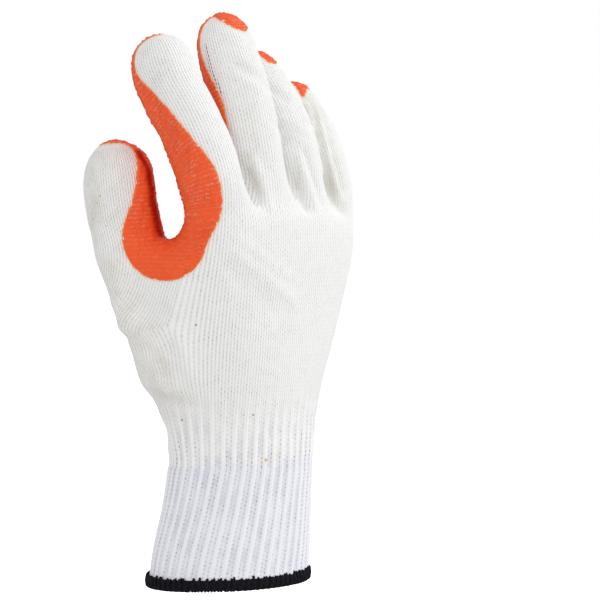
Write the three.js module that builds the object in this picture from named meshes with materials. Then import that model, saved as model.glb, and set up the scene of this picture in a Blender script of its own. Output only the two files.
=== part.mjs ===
// Knitted work glove, right hand, with a crinkle latex coat on the palm side, shown as worn.
// Millimetres. +Z runs from the cuff opening to the fingertips, -Y is the back of the hand,
// +Y the palm, -X the thumb side. The origin is the centre of the cuff opening.
import * as THREE from 'three';

// Main sizes: height of the middle fingertip over the cuff opening, and width of the palm. The tables
// below are drawn for a middle fingertip at 246 and a palm of 98, and take their scale from these two.
const gloveLength = 253.38;
const palmBreadth = 100.94;
const drawnLength = 246;
const gloveScale = gloveLength / drawnLength;
const drawnBreadth = 98;
const breadthShare = palmBreadth / (drawnBreadth * gloveScale);
const cuffHeight = 51;
const cuffWall = 1.5;
const ribCount = Math.round(42);
const ribDepth = 0.8;
const ribLean = 0.16;
const hemHeight = 5.2;
const hemSkin = 1.0;
const hemTilt = 1.5;
const hemSteps = Math.round(44);
const knitWall = 1.7;
const latexThick = 0.9;
const pieceGap = 0.3;
const seamGap = 0.3;
const backCols = Math.round(4);
const sideCols = Math.round(3);
const fingerRows = Math.round(7);
const thumbRows = Math.round(6);
const relaxRounds = Math.round(5);
// Opening in the side of the palm from which the thumb grows: place round the hand in degrees
// from the middle of the back, number of columns, first row, number of rows.
const thumbHole = { turn: 227.4, columns: 5, firstRow: Math.round(8), rows: 4 };

// Cuff: centre, half widths, at each height.
const cuffRings = [
  { z: 0, x: -0.5, y: 0.6, wide: 38.2, thick: 32.6 },
  { z: 14, x: 0, y: -0.6, wide: 37, thick: 31.6 },
  { z: 34, x: 0.6, y: -3.4, wide: 35, thick: 29.6 },
  { z: 51, x: 1, y: -5.2, wide: 34, thick: 28.4 },
];

// Hand from the cuff to the finger roots: centre, half widths, squareness, swell of the thumb pad.
const palmRings = [
  { z: 51, x: 1, y: -5.2, wide: 34, thick: 28.4, power: 2.05, pad: 0 },
  { z: 62, x: 1, y: -5.8, wide: 34.2, thick: 28, power: 2.08, pad: 1 },
  { z: 70, x: 1, y: -6.6, wide: 34.5, thick: 27.4, power: 2.1, pad: 4.5 },
  { z: 78, x: 1.2, y: -8, wide: 35.2, thick: 26.8, power: 2.12, pad: 9.5 },
  { z: 86, x: 1.4, y: -9.6, wide: 36.5, thick: 26, power: 2.15, pad: 15 },
  { z: 95, x: 1.7, y: -11.6, wide: 38.6, thick: 24.8, power: 2.18, pad: 19 },
  { z: 104, x: 2, y: -13.6, wide: 41, thick: 23.4, power: 2.2, pad: 20.5 },
  { z: 122, x: 2.6, y: -17, wide: 45, thick: 21, power: 2.25, pad: 14.5 },
  { z: 140, x: 3, y: -20, wide: 48, thick: 19.6, power: 2.3, pad: 6 },
  { z: 156, x: 3, y: -21.5, wide: 49, thick: 18.6, power: 2.35, pad: 1 },
  { z: 170, x: 3, y: -21.5, wide: 49, thick: 18, power: 2.4, pad: 0 },
];
const rowHeights = [51, 59, 67, 74, 80.5, 87, 95, 101, 108, 118, 129, 141, 152.5, 156.5];
const rootLevel = 160;
const rootFrom = 101;
// Height of the last palm row at each finger root, radial side to ulnar side.
const rootHeights = [158, 160, 161.5, 162.5, 163, 162.5, 160.5, 157.5, 152];

// Folds and dents of the worn hand: degrees round from the middle of the back and height of both
// ends of the fold, its half width, and how far it stands out (or sinks in, when negative).
const folds = [
  { turn: 246, z: 94, turnEnd: 252, zEnd: 98, width: 6.5, rise: -2.4 },
  { turn: 236, z: 85.5, turnEnd: 258, zEnd: 86.5, width: 4.2, rise: 1.5 },
  { turn: 230, z: 79, turnEnd: 276, zEnd: 76, width: 3.6, rise: -1.5 },
  { turn: 265, z: 106, turnEnd: 273, zEnd: 90, width: 4, rise: 1.6 },
  { turn: 226, z: 109, turnEnd: 236, zEnd: 106, width: 3.5, rise: -0.8 },
  { turn: 301, z: 143, turnEnd: 351, zEnd: 122, width: 4.4, rise: 0.9 },
  { turn: 288, z: 118, turnEnd: 292, zEnd: 96, width: 5, rise: -0.9 },
];

// Fingers: centre line points with half widths; the tip is the top of the dome.
const fingers = [
  {
    name: 'index', dome: 14,
    line: [
      { x: -34, y: -23.6, z: 158, wide: 11.1, thick: 15.6 },
      { x: -34.3, y: -18.4, z: 178, wide: 11.7, thick: 15.3 },
      { x: -34, y: -6.1, z: 200, wide: 11.9, thick: 14.9 },
      { x: -34.3, y: 3, z: 212, wide: 12, thick: 14.8 },
      { x: -34.6, y: 7.3, z: 222, wide: 12, thick: 14.7 },
    ],
  },
  {
    name: 'middle', dome: 17,
    line: [
      { x: -8.3, y: -22.6, z: 163, wide: 10.5, thick: 15.6 },
      { x: -8.4, y: -20, z: 184, wide: 11.2, thick: 15.1 },
      { x: -8, y: -14.5, z: 206, wide: 11.2, thick: 14.6 },
      { x: -7.3, y: -8.5, z: 221, wide: 11.1, thick: 14 },
      { x: -7, y: -5, z: 229, wide: 11, thick: 13.7 },
    ],
  },
  {
    name: 'ring', dome: 15.5,
    line: [
      { x: 16.6, y: -21.7, z: 162, wide: 10, thick: 15.4 },
      { x: 16.6, y: -20.4, z: 180, wide: 10.6, thick: 14.6 },
      { x: 16.4, y: -13.6, z: 199, wide: 10.7, thick: 14.1 },
      { x: 16.2, y: -5.8, z: 210, wide: 10.6, thick: 13.7 },
      { x: 16, y: -1.4, z: 215, wide: 10.5, thick: 13.4 },
    ],
  },
  {
    name: 'little', dome: 13.5,
    line: [
      { x: 40.4, y: -19.6, z: 155, wide: 9.8, thick: 14.8 },
      { x: 40.2, y: -18.4, z: 170, wide: 10.2, thick: 13.8 },
      { x: 39.4, y: -14.5, z: 185, wide: 10.3, thick: 13.2 },
      { x: 38.7, y: -10.3, z: 194, wide: 10.2, thick: 12.7 },
      { x: 38.1, y: -3.9, z: 203, wide: 10.1, thick: 12.4 },
    ],
  },
];
const webHeights = [161.5, 164, 158.5];

// Thumb: centre line, half widths across and along the view of its nail side.
const thumb = {
  dome: 16.5,
  line: [
    { x: -37, y: 9.4, z: 116, wide: 14.8, thick: 17.5 },
    { x: -39.2, y: 16.4, z: 131, wide: 14.6, thick: 17.3 },
    { x: -41, y: 22.1, z: 146, wide: 14.4, thick: 16.1 },
    { x: -42.2, y: 25.4, z: 160, wide: 14.2, thick: 14.8 },
    { x: -42.5, y: 27, z: 170, wide: 13.8, thick: 14.7 },
    { x: -42.5, y: 27.6, z: 174, wide: 13.6, thick: 14.6 },
  ],
};
const thumbTurn = 225;
const tau = Math.PI * 2;
const degree = Math.PI / 180;

// Smooth curve through the values of one column of a table, read at a height.
function curveValue(table, key, z) {
  const last = table.length - 1;
  if (z <= table[0].z) return table[0][key];
  if (z >= table[last].z) return table[last][key];
  let i = 0;
  while (table[i + 1].z < z) i += 1;
  const a = table[Math.max(i - 1, 0)];
  const b = table[i];
  const c = table[i + 1];
  const d = table[Math.min(i + 2, last)];
  const step = c.z - b.z;
  const slopeB = (c[key] - a[key]) / (c.z - a.z);
  const slopeC = (d[key] - b[key]) / (d.z - b.z);
  const t = (z - b.z) / step;
  const t2 = t * t;
  const t3 = t2 * t;
  return (2 * t3 - 3 * t2 + 1) * b[key] + (t3 - 2 * t2 + t) * step * slopeB
    + (-2 * t3 + 3 * t2) * c[key] + (t3 - t2) * step * slopeC;
}

function pointAt(line, z) {
  return new THREE.Vector3(curveValue(line, 'x', z), curveValue(line, 'y', z), z);
}

function smoothStep(low, high, value) {
  const t = Math.min(Math.max((value - low) / (high - low), 0), 1);
  return t * t * (3 - 2 * t);
}

// The same angle in degrees, from minus half a turn to half a turn.
function nearZero(angle) {
  const turns = angle * degree / tau;
  return ((turns - Math.round(turns)) * tau) / degree;
}

// Points spaced evenly round a rounded outline, the back's middle being the point numbered lead.
function evenRing(wide, thick, power, count, lead) {
  const steps = 360;
  const points = [];
  for (let i = 0; i <= steps; i += 1) {
    const angle = (i / steps) * tau - Math.PI / 2;
    const c = Math.cos(angle);
    const s = Math.sin(angle);
    points.push([
      wide * Math.sign(c) * Math.abs(c) ** (2 / power),
      thick * Math.sign(s) * Math.abs(s) ** (2 / power),
    ]);
  }
  const lengths = [0];
  for (let i = 1; i <= steps; i += 1) {
    const along = Math.hypot(points[i][0] - points[i - 1][0], points[i][1] - points[i - 1][1]);
    lengths.push(lengths[i - 1] + along);
  }
  const total = lengths[steps];
  const ring = [];
  for (let c = 0; c < count; c += 1) {
    const wanted = ((((c - lead) / count) % 1) + 1) % 1 * total;
    let i = 1;
    while (i < steps && lengths[i] < wanted) i += 1;
    const t = (wanted - lengths[i - 1]) / (lengths[i] - lengths[i - 1]);
    ring.push([
      points[i - 1][0] + (points[i][0] - points[i - 1][0]) * t,
      points[i - 1][1] + (points[i][1] - points[i - 1][1]) * t,
    ]);
  }
  return ring;
}

// The hand as one surface of four-sided faces.
function buildHand() {
  const places = [];
  const faces = [];
  const coat = [];
  const ease = [];
  const add = (point, cover, soft = 0) => {
    places.push(point);
    coat.push(cover);
    ease.push(soft);
    return places.length - 1;
  };
  const band = (low, high, closed = true) => {
    const count = low.length;
    const stop = closed ? count : count - 1;
    for (let i = 0; i < stop; i += 1) {
      const j = (i + 1) % count;
      faces.push([low[i], low[j], high[j], high[i]]);
    }
  };
  const acrossCols = backCols * 4;
  const columns = acrossCols * 2 + sideCols * 2;
  const holeStart = Math.round((thumbHole.turn / 360) * columns) + backCols * 2;
  const holeEnd = holeStart + thumbHole.columns;
  const holeTop = thumbHole.firstRow + thumbHole.rows;
  const lastRow = rowHeights.length;

  // Edge of the coat on the palm: column of its thumb-side border at each height.
  const borderThumbSide = [
    { z: 50, turn: 113 }, { z: 64, turn: 132 }, { z: 66, turn: 151 }, { z: 69, turn: 174 },
    { z: 73, turn: 193 }, { z: 78, turn: 206 }, { z: 84, turn: 215 }, { z: 92, turn: 224 },
    { z: 105, turn: 234 }, { z: 122, turn: 245 }, { z: 131, turn: 257 }, { z: 134, turn: 270 },
    { z: 139, turn: 275.5 }, { z: 144, turn: 279 }, { z: 151, turn: 281.5 }, { z: 158, turn: 289 },
    { z: 166, turn: 295 }, { z: 175, turn: 298 },
  ];
  const borderOuterSide = 95;
  const coatFoot = 66;
  const fullTurn = tau / degree;
  const turnOf = (c) => ((((c - backCols * 2) / columns) * fullTurn) + fullTurn) % fullTurn;
  const perDegree = 0.64;
  const palmCover = (turn, z) => {
    const right = curveValue(borderThumbSide, 'turn', z);
    const fromFoot = z < coatFoot ? z - coatFoot : 99;
    return Math.min((right - turn) * perDegree, (turn - borderOuterSide) * perDegree, fromFoot);
  };
  const foldShift = (turn, z) => {
    let shift = 0;
    for (const fold of folds) {
      const px = turn * perDegree;
      const ax = fold.turn * perDegree;
      const bx = fold.turnEnd * perDegree;
      const rise = fold.zEnd - fold.z;
      const lengthSquared = (bx - ax) ** 2 + rise ** 2;
      const share = ((px - ax) * (bx - ax) + (z - fold.z) * rise) / lengthSquared;
      const t = Math.min(Math.max(share, 0), 1);
      const away = Math.hypot(px - ax - t * (bx - ax), z - fold.z - t * rise);
      shift += fold.rise * Math.exp(-((away / fold.width) ** 2));
    }
    return shift;
  };
  const rootAt = (across) => {
    const spot = (across / acrossCols) * (rootHeights.length - 1);
    const i = Math.min(Math.floor(spot), rootHeights.length - 2);
    return rootHeights[i] + (rootHeights[i + 1] - rootHeights[i]) * (spot - i);
  };

  const palm = [];
  for (let r = 0; r <= lastRow; r += 1) {
    const row = [];
    for (let c = 0; c < columns; c += 1) {
      const onPalm = c > acrossCols + sideCols - 1;
      let across = c <= acrossCols ? c : 0;
      if (onPalm) across = acrossCols * 2 + sideCols - c;
      if (c > acrossCols && c < acrossCols + sideCols) across = acrossCols;
      across = Math.min(Math.max(across, 0), acrossCols);
      let z = r === lastRow ? rootLevel : rowHeights[r];
      if (z > rootFrom) {
        z = rootFrom + ((z - rootFrom) * (rootAt(across) - rootFrom)) / (rootLevel - rootFrom);
      }
      const turn = turnOf(c);
      const wide = curveValue(palmRings, 'wide', z);
      const thick = curveValue(palmRings, 'thick', z);
      const ring = evenRing(wide, thick, curveValue(palmRings, 'power', z), columns, backCols * 2);
      let x = curveValue(palmRings, 'x', z) + ring[c][0];
      let y = curveValue(palmRings, 'y', z) + ring[c][1];
      const pad = curveValue(palmRings, 'pad', z) * Math.exp(-(((turn - 241) / 38) ** 2));
      x -= pad * 0.62;
      y += pad * 0.78;
      const outward = Math.hypot(ring[c][0], ring[c][1]);
      const shift = foldShift(turn, z);
      x += (ring[c][0] / outward) * shift;
      y += (ring[c][1] / outward) * shift;
      let soft = 0;
      if (r === lastRow) soft = 0.5;
      if (r === lastRow - 1) soft = 0.35;
      const besideHole = c >= holeStart - 1 && c <= holeEnd + 1;
      const nearHole = besideHole && r >= thumbHole.firstRow - 1 && r <= holeTop + 1;
      if (nearHole) soft = r >= holeTop ? 0.45 : 0.8;
      const inside = c > holeStart && c < holeEnd && r > thumbHole.firstRow && r < holeTop;
      const cover = palmCover(turn < 60 ? turn + fullTurn : turn, z);
      row.push(inside ? -1 : add(new THREE.Vector3(x, y, z), cover, soft));
    }
    palm.push(row);
  }
  for (let r = 0; r < lastRow; r += 1) {
    for (let c = 0; c < columns; c += 1) {
      const open = c >= holeStart && c < holeEnd && r >= thumbHole.firstRow && r < holeTop;
      const d = (c + 1) % columns;
      if (!open) faces.push([palm[r][c], palm[r][d], palm[r + 1][d], palm[r + 1][c]]);
    }
  }

  // Webs between the fingers.
  const top = palm[lastRow];
  const backAt = (j) => top[j];
  const frontAt = (j) => top[acrossCols + sideCols + (acrossCols - j)];
  const webs = [];
  for (let b = 1; b <= 3; b += 1) {
    const dorsal = places[backAt(b * backCols)];
    const palmar = places[frontAt(b * backCols)];
    const before = fingers[b - 1].line[0];
    const after = fingers[b].line[0];
    const gapMiddle = (before.x + before.wide + after.x - after.wide) / 2;
    dorsal.x = gapMiddle;
    palmar.x = gapMiddle;
    dorsal.z -= 1.5;
    palmar.z -= 2.5;
    dorsal.y += 2.2;
    palmar.y -= 1.6;
    ease[backAt(b * backCols)] = 0.1;
    ease[frontAt(b * backCols)] = 0.1;
    const line = [];
    for (let k = 1; k < sideCols; k += 1) {
      const t = k / sideCols;
      const point = dorsal.clone().lerp(palmar, 0.5 + (t - 0.5) * 0.82);
      point.z = webHeights[b - 1] + Math.sin(t * Math.PI) * 1.0;
      line.push(add(point, (t - 0.5) * 24, 0));
    }
    webs.push(line);
  }

  // A finger or the thumb: rings from its base to the last point of its line, then a domed tip.
  const tube = (shape) => {
    const { base, line, dome, rows, frame, cover, coverTip, cols, sides, softness, lean } = shape;
    const firstZ = line[0].z + 10;
    const count = base.length;
    const lastZ = line[line.length - 1].z;
    const tangentAt = (z) => pointAt(line, z + 1.5).sub(pointAt(line, z - 1.5)).normalize();
    const endTangent = pointAt(line, lastZ).sub(pointAt(line, lastZ - 3)).normalize();
    let previous = base;
    const place = (centre, along, a, b, angle) => {
      const [e1, e2] = frame(along);
      const point = centre.clone().addScaledVector(e1, a * Math.cos(angle));
      return point.addScaledVector(e2, b * Math.sin(angle));
    };
    // Columns are spread evenly, and the middle of the first side is at minus a quarter turn.
    const angleOf = (i) => -tau / 4 + ((i - cols / 2) / count) * tau;
    for (let k = 1; k <= rows; k += 1) {
      const z = firstZ + ((lastZ - firstZ) * (k - 1)) / (rows - 1);
      const centre = pointAt(line, z);
      const along = z > lastZ - 1.5 ? endTangent.clone() : tangentAt(z);
      if (lean) {
        along.addScaledVector(lean.toward, lean.share[Math.min(k, lean.share.length) - 1]).normalize();
      }
      const a = curveValue(line, 'wide', z);
      const b = curveValue(line, 'thick', z);
      const ring = [];
      for (let i = 0; i < count; i += 1) {
        const point = place(centre, along, a, b, angleOf(i));
        ring.push(add(point, cover(z, angleOf(i)), softness[Math.min(k, softness.length) - 1]));
      }
      band(previous, ring);
      previous = ring;
    }
    const endCentre = pointAt(line, lastZ);
    const a = line[line.length - 1].wide;
    const b = line[line.length - 1].thick;
    const latitudes = [28, 52];
    for (const latitude of latitudes) {
      const lift = Math.sin(latitude * degree) * dome;
      const shrink = Math.cos(latitude * degree);
      const centre = endCentre.clone().addScaledVector(endTangent, lift);
      const ring = [];
      for (let i = 0; i < count; i += 1) {
        const point = place(centre, endTangent, a * shrink, b * shrink, angleOf(i));
        const covered = Math.max(cover(lastZ, angleOf(i)), coverTip(angleOf(i), dome - lift));
        ring.push(add(point, covered, 0));
      }
      band(previous, ring);
      previous = ring;
    }
    // Tip: a small grid of faces that closes the dome.
    const grid = [];
    for (let q = 0; q <= sides; q += 1) grid.push(new Array(cols + 1).fill(-1));
    let n = 0;
    for (let p = 0; p < cols; p += 1) grid[0][p] = previous[n + p];
    n += cols;
    for (let q = 0; q < sides; q += 1) grid[q][cols] = previous[n + q];
    n += sides;
    for (let p = cols; p > 0; p -= 1) grid[sides][p] = previous[n + cols - p];
    n += cols;
    for (let q = sides; q > 0; q -= 1) grid[q][0] = previous[n + sides - q];
    for (let q = 1; q < sides; q += 1) {
      for (let p = 1; p < cols; p += 1) {
        const u = (p / cols) * 2 - 1;
        const v = (q / sides) * 2 - 1;
        const reach = Math.max(Math.abs(u), Math.abs(v));
        const latitude = (90 - reach * (90 - latitudes[latitudes.length - 1])) * degree;
        const shrink = Math.cos(latitude);
        const angle = Math.atan2(v, u);
        const centre = endCentre.clone().addScaledVector(endTangent, Math.sin(latitude) * dome);
        const point = reach < 1e-6 ? centre : place(centre, endTangent, a * shrink, b * shrink, angle);
        const drop = dome - Math.sin(latitude) * dome;
        grid[q][p] = add(point, Math.max(reach < 1e-6 ? 6 : coverTip(angle, drop), 1), 0);
      }
    }
    for (let q = 0; q < sides; q += 1) {
      for (let p = 0; p < cols; p += 1) {
        faces.push([grid[q][p], grid[q][p + 1], grid[q + 1][p + 1], grid[q + 1][p]]);
      }
    }
  };

  // Fingers: e1 runs to the little-finger side, e2 to the palm.
  const fingerFrame = (along) => {
    const e1 = new THREE.Vector3(1, 0, 0);
    e1.addScaledVector(along, -e1.dot(along)).normalize();
    return [e1, new THREE.Vector3().crossVectors(along, e1)];
  };
  // Border of the coat on each finger, in degrees from the middle of the back: thumb side, outer side.
  const borders = [
    {
      rise: [
        { z: 158, r: 38 }, { z: 172, r: 48 }, { z: 186, r: 58 },
        { z: 200, r: 66 }, { z: 211, r: 76 }, { z: 222, r: 100 },
      ],
      outer: 104,
    },
    { rise: [{ z: 160, r: 98 }, { z: 205, r: 90 }, { z: 228, r: 100 }], outer: 104 },
    { rise: [{ z: 160, r: 102 }, { z: 240, r: 102 }], outer: 104 },
    { rise: [{ z: 150, r: 102 }, { z: 240, r: 102 }], outer: 100 },
  ];
  fingers.forEach((finger, f) => {
    const base = [];
    for (let j = f * backCols; j <= (f + 1) * backCols; j += 1) base.push(backAt(j));
    if (f < 3) for (let k = 0; k < sideCols - 1; k += 1) base.push(webs[f][k]);
    else for (let k = 1; k < sideCols; k += 1) base.push(top[acrossCols + k]);
    for (let j = (f + 1) * backCols; j >= f * backCols; j -= 1) base.push(frontAt(j));
    if (f > 0) for (let k = sideCols - 2; k >= 0; k -= 1) base.push(webs[f - 1][k]);
    else for (let k = 1; k < sideCols; k += 1) base.push(top[acrossCols * 2 + sideCols + k]);
    const radius = finger.line[2].wide;
    const degrees = (angle) => nearZero(angle / degree + 90);
    const cover = (z, angle) => {
      const d = degrees(angle);
      const edge = d < 0 ? curveValue(borders[f].rise, 'r', z) : borders[f].outer;
      return (Math.abs(d) - edge) * degree * radius;
    };
    const coverTip = (angle, drop) => {
      const d = degrees(angle);
      const wrap = f === 0 ? 3 : 4 + 6 * smoothStep(-40, 60, d);
      return wrap - drop;
    };
    tube({
      base, line: finger.line, dome: finger.dome, rows: fingerRows, frame: fingerFrame, cover, coverTip,
      cols: backCols, sides: sideCols, softness: [0.12, 0], lean: null,
    });
  });

  // Thumb, grown from the opening in the side of the palm.
  const hole = [];
  for (let c = holeStart; c < holeEnd; c += 1) hole.push(palm[thumbHole.firstRow][c]);
  for (let r = thumbHole.firstRow; r < holeTop; r += 1) hole.push(palm[r][holeEnd]);
  for (let c = holeEnd; c > holeStart; c -= 1) hole.push(palm[holeTop][c]);
  for (let r = holeTop; r > thumbHole.firstRow; r -= 1) hole.push(palm[r][holeStart]);
  const turn = thumbTurn * degree;
  const thumbFrame = (along) => {
    const e1 = new THREE.Vector3(Math.cos(turn), Math.sin(turn), 0);
    e1.addScaledVector(along, -e1.dot(along)).normalize();
    return [e1, new THREE.Vector3().crossVectors(along, e1)];
  };
  const thumbBorder = [
    { z: 110, low: -112, high: 6 }, { z: 132, low: -118, high: -3 }, { z: 150, low: -120, high: -4 },
    { z: 164, low: -120, high: 24 }, { z: 180, low: -120, high: 36 },
  ];
  const thumbCover = (z, angle) => {
    const d = nearZero(angle / degree);
    const low = curveValue(thumbBorder, 'low', z);
    const high = curveValue(thumbBorder, 'high', z);
    const middle = (low + high) / 2;
    const half = (high - low) / 2;
    const away = Math.abs(nearZero(d - middle));
    return (away - half) * degree * thumb.line[0].wide;
  };
  const thumbLean = { toward: new THREE.Vector3(-0.62, 0.78, 0), share: [1, 0.5, 0.2, 0] };
  tube({
    base: hole, line: thumb.line, dome: thumb.dome, rows: thumbRows, frame: thumbFrame, cover: thumbCover,
    coverTip: (angle, drop) => 3 - drop, cols: thumbHole.columns, sides: thumbHole.rows,
    softness: [0.9, 0.5, 0.2, 0], lean: thumbLean,
  });

  // Ease the joins at the finger roots and round the thumb.
  const near = places.map(() => new Set());
  for (const face of faces) {
    for (let i = 0; i < 4; i += 1) {
      near[face[i]].add(face[(i + 1) % 4]);
      near[face[(i + 1) % 4]].add(face[i]);
    }
  }
  for (let round = 0; round < relaxRounds; round += 1) {
    const moved = places.map((point, i) => {
      if (ease[i] === 0) return point.clone();
      const mean = new THREE.Vector3();
      near[i].forEach((j) => mean.add(places[j]));
      mean.divideScalar(near[i].size);
      return point.clone().lerp(mean, ease[i] * 0.7);
    });
    moved.forEach((point, i) => places[i].copy(point));
  }
  // The hand stands on the cuff, whatever the cuff's height, and takes the palm's named width.
  for (const point of places) {
    point.x *= breadthShare;
    point.z += cuffHeight - palmRings[0].z;
  }
  return { places, faces, coat, rim: palm[0] };
}

// Normal of each point: the corner normals of its faces, weighted by the corner angles.
function normalsOf(places, faces) {
  const normals = places.map(() => new THREE.Vector3());
  for (const face of faces) {
    for (let k = 0; k < 4; k += 1) {
      const here = places[face[k]];
      const ahead = places[face[(k + 1) % 4]].clone().sub(here);
      const behind = places[face[(k + 3) % 4]].clone().sub(here);
      const angle = ahead.angleTo(behind);
      normals[face[k]].addScaledVector(ahead.cross(behind).normalize(), angle);
    }
  }
  normals.forEach((n) => n.normalize());
  return normals;
}

// A named mesh in millimetres from points and triangles at the drawn scale.
function meshFrom(name, vertices, triangles, colour, roughness) {
  const geometry = new THREE.BufferGeometry();
  const flat = new Float32Array(vertices.length * 3);
  vertices.forEach((v, i) => {
    flat[i * 3] = v.x * gloveScale;
    flat[i * 3 + 1] = v.y * gloveScale;
    flat[i * 3 + 2] = v.z * gloveScale;
  });
  geometry.setAttribute('position', new THREE.BufferAttribute(flat, 3));
  geometry.setIndex(triangles.flat());
  geometry.computeVertexNormals();
  const material = new THREE.MeshStandardMaterial({ color: colour, roughness, metalness: 0 });
  const mesh = new THREE.Mesh(geometry, material);
  mesh.name = name;
  return mesh;
}

const hand = buildHand();
const handNormals = normalsOf(hand.places, hand.faces);

// Wall of the hand: the outer surface, the inner one, and the rim that stands on the cuff.
function knitHand() {
  const count = hand.places.length;
  const vertices = [];
  hand.places.forEach((p) => vertices.push(p.clone()));
  hand.places.forEach((p, i) => vertices.push(p.clone().addScaledVector(handNormals[i], -knitWall)));
  const triangles = [];
  for (const [a, b, c, d] of hand.faces) {
    triangles.push([a, b, c], [a, c, d]);
    triangles.push([a + count, c + count, b + count], [a + count, d + count, c + count]);
  }
  const rim = hand.rim;
  for (let i = 0; i < rim.length; i += 1) {
    const a = rim[i];
    const b = rim[(i + 1) % rim.length];
    vertices[a + count].z = vertices[a].z;
    triangles.push([a, a + count, b + count], [a, b + count, b]);
  }
  return meshFrom('knit_hand', vertices, triangles, 0xece7dc, 0.9);
}

// The coat: the part of the outer surface where the cover is above zero, cut along its border.
function latexCoat() {
  const points = [];
  const lookup = new Map();
  const corner = (i) => {
    const key = `v${i}`;
    if (!lookup.has(key)) {
      lookup.set(key, points.length);
      points.push({ p: hand.places[i].clone(), n: handNormals[i].clone() });
    }
    return lookup.get(key);
  };
  const cut = (i, j) => {
    const a = Math.min(i, j);
    const b = Math.max(i, j);
    const key = `e${a}_${b}`;
    if (!lookup.has(key)) {
      const t = Math.min(Math.max(hand.coat[a] / (hand.coat[a] - hand.coat[b]), 0.12), 0.88);
      lookup.set(key, points.length);
      points.push({
        p: hand.places[a].clone().lerp(hand.places[b], t),
        n: handNormals[a].clone().lerp(handNormals[b], t),
      });
    }
    return lookup.get(key);
  };
  const kept = [];
  const clip = (tri) => {
    const inside = tri.map((i) => hand.coat[i] > 0);
    const number = inside.filter(Boolean).length;
    if (number === 0) return;
    if (number === 3) {
      kept.push(tri.map(corner));
      return;
    }
    if (number === 1) {
      const k = inside.indexOf(true);
      const [a, b, c] = [tri[k], tri[(k + 1) % 3], tri[(k + 2) % 3]];
      kept.push([corner(a), cut(a, b), cut(a, c)]);
      return;
    }
    const k = inside.indexOf(false);
    const [a, b, c] = [tri[k], tri[(k + 1) % 3], tri[(k + 2) % 3]];
    kept.push([cut(a, b), corner(b), corner(c)], [cut(a, b), corner(c), cut(a, c)]);
  };
  for (const [a, b, c, d] of hand.faces) {
    clip([a, b, c]);
    clip([a, c, d]);
  }
  const count = points.length;
  const vertices = [];
  points.forEach(({ p, n }) => vertices.push(p.clone().addScaledVector(n, pieceGap + latexThick)));
  points.forEach(({ p, n }) => vertices.push(p.clone().addScaledVector(n, pieceGap)));
  const triangles = [];
  const edges = new Map();
  for (const [a, b, c] of kept) {
    triangles.push([a, b, c], [a + count, c + count, b + count]);
    for (const [i, j] of [[a, b], [b, c], [c, a]]) {
      if (edges.has(`${j}_${i}`)) edges.delete(`${j}_${i}`);
      else edges.set(`${i}_${j}`, [i, j]);
    }
  }
  edges.forEach(([i, j]) => {
    triangles.push([j, i, i + count], [j, i + count, j + count]);
  });
  return meshFrom('latex_coating', vertices, triangles, 0xf2562a, 0.45);
}

// Wall of a tube that stands between two heights, from the outer ring and the inner ring of each row.
function tubeMesh(name, outer, inner, colour, roughness) {
  const vertices = [];
  const triangles = [];
  const count = outer[0].length;
  const rows = outer.length;
  outer.forEach((ring) => ring.forEach((p) => vertices.push(p)));
  inner.forEach((ring) => ring.forEach((p) => vertices.push(p)));
  const shift = rows * count;
  for (let r = 0; r < rows - 1; r += 1) {
    for (let i = 0; i < count; i += 1) {
      const j = (i + 1) % count;
      const a = r * count + i;
      const b = r * count + j;
      const c = (r + 1) * count + j;
      const d = (r + 1) * count + i;
      triangles.push([a, b, c], [a, c, d]);
      triangles.push([a + shift, c + shift, b + shift], [a + shift, d + shift, c + shift]);
    }
  }
  for (let i = 0; i < count; i += 1) {
    const j = (i + 1) % count;
    triangles.push([i, i + shift, j + shift], [i, j + shift, j]);
    const a = (rows - 1) * count + i;
    const b = (rows - 1) * count + j;
    triangles.push([a, b, b + shift], [a, b + shift, a + shift]);
  }
  return meshFrom(name, vertices, triangles, colour, roughness);
}

// A point of the cuff. The rings' table is stretched to the cuff's height.
function cuffPoint(z, angle, grow) {
  const level = (z / cuffHeight) * cuffRings[cuffRings.length - 1].z;
  const x = curveValue(cuffRings, 'x', level) * breadthShare;
  const y = curveValue(cuffRings, 'y', level);
  const wide = curveValue(cuffRings, 'wide', level) * breadthShare + grow;
  const thick = curveValue(cuffRings, 'thick', level) + grow;
  const lift = hemTilt * Math.cos(angle) * (1 - Math.min(z / cuffHeight, 1));
  return new THREE.Vector3(x + wide * Math.cos(angle), y + thick * Math.sin(angle), z + lift);
}

// The ribbed cuff: ridges and hollows outside, an even wall inside.
function knitCuff() {
  const perRib = 3;
  const count = ribCount * perRib;
  const heights = [1.6, hemHeight + 1.4, 30, cuffHeight - seamGap];
  const outer = [];
  const inner = [];
  for (const z of heights) {
    const depth = ribDepth * smoothStep(hemHeight - 1, hemHeight + 3, z);
    const ringOut = [];
    const ringIn = [];
    for (let i = 0; i < count; i += 1) {
      const angle = (i / count) * tau + ribLean * (z / cuffHeight);
      const wave = [0, 0.9, 0.9][i % perRib];
      ringOut.push(cuffPoint(z, angle, -wave * depth));
      ringIn.push(cuffPoint(z, angle, -ribDepth - cuffWall));
    }
    outer.push(ringOut);
    inner.push(ringIn);
  }
  return tubeMesh('knit_cuff', outer, inner, 0xe8ecf2, 0.9);
}

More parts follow.
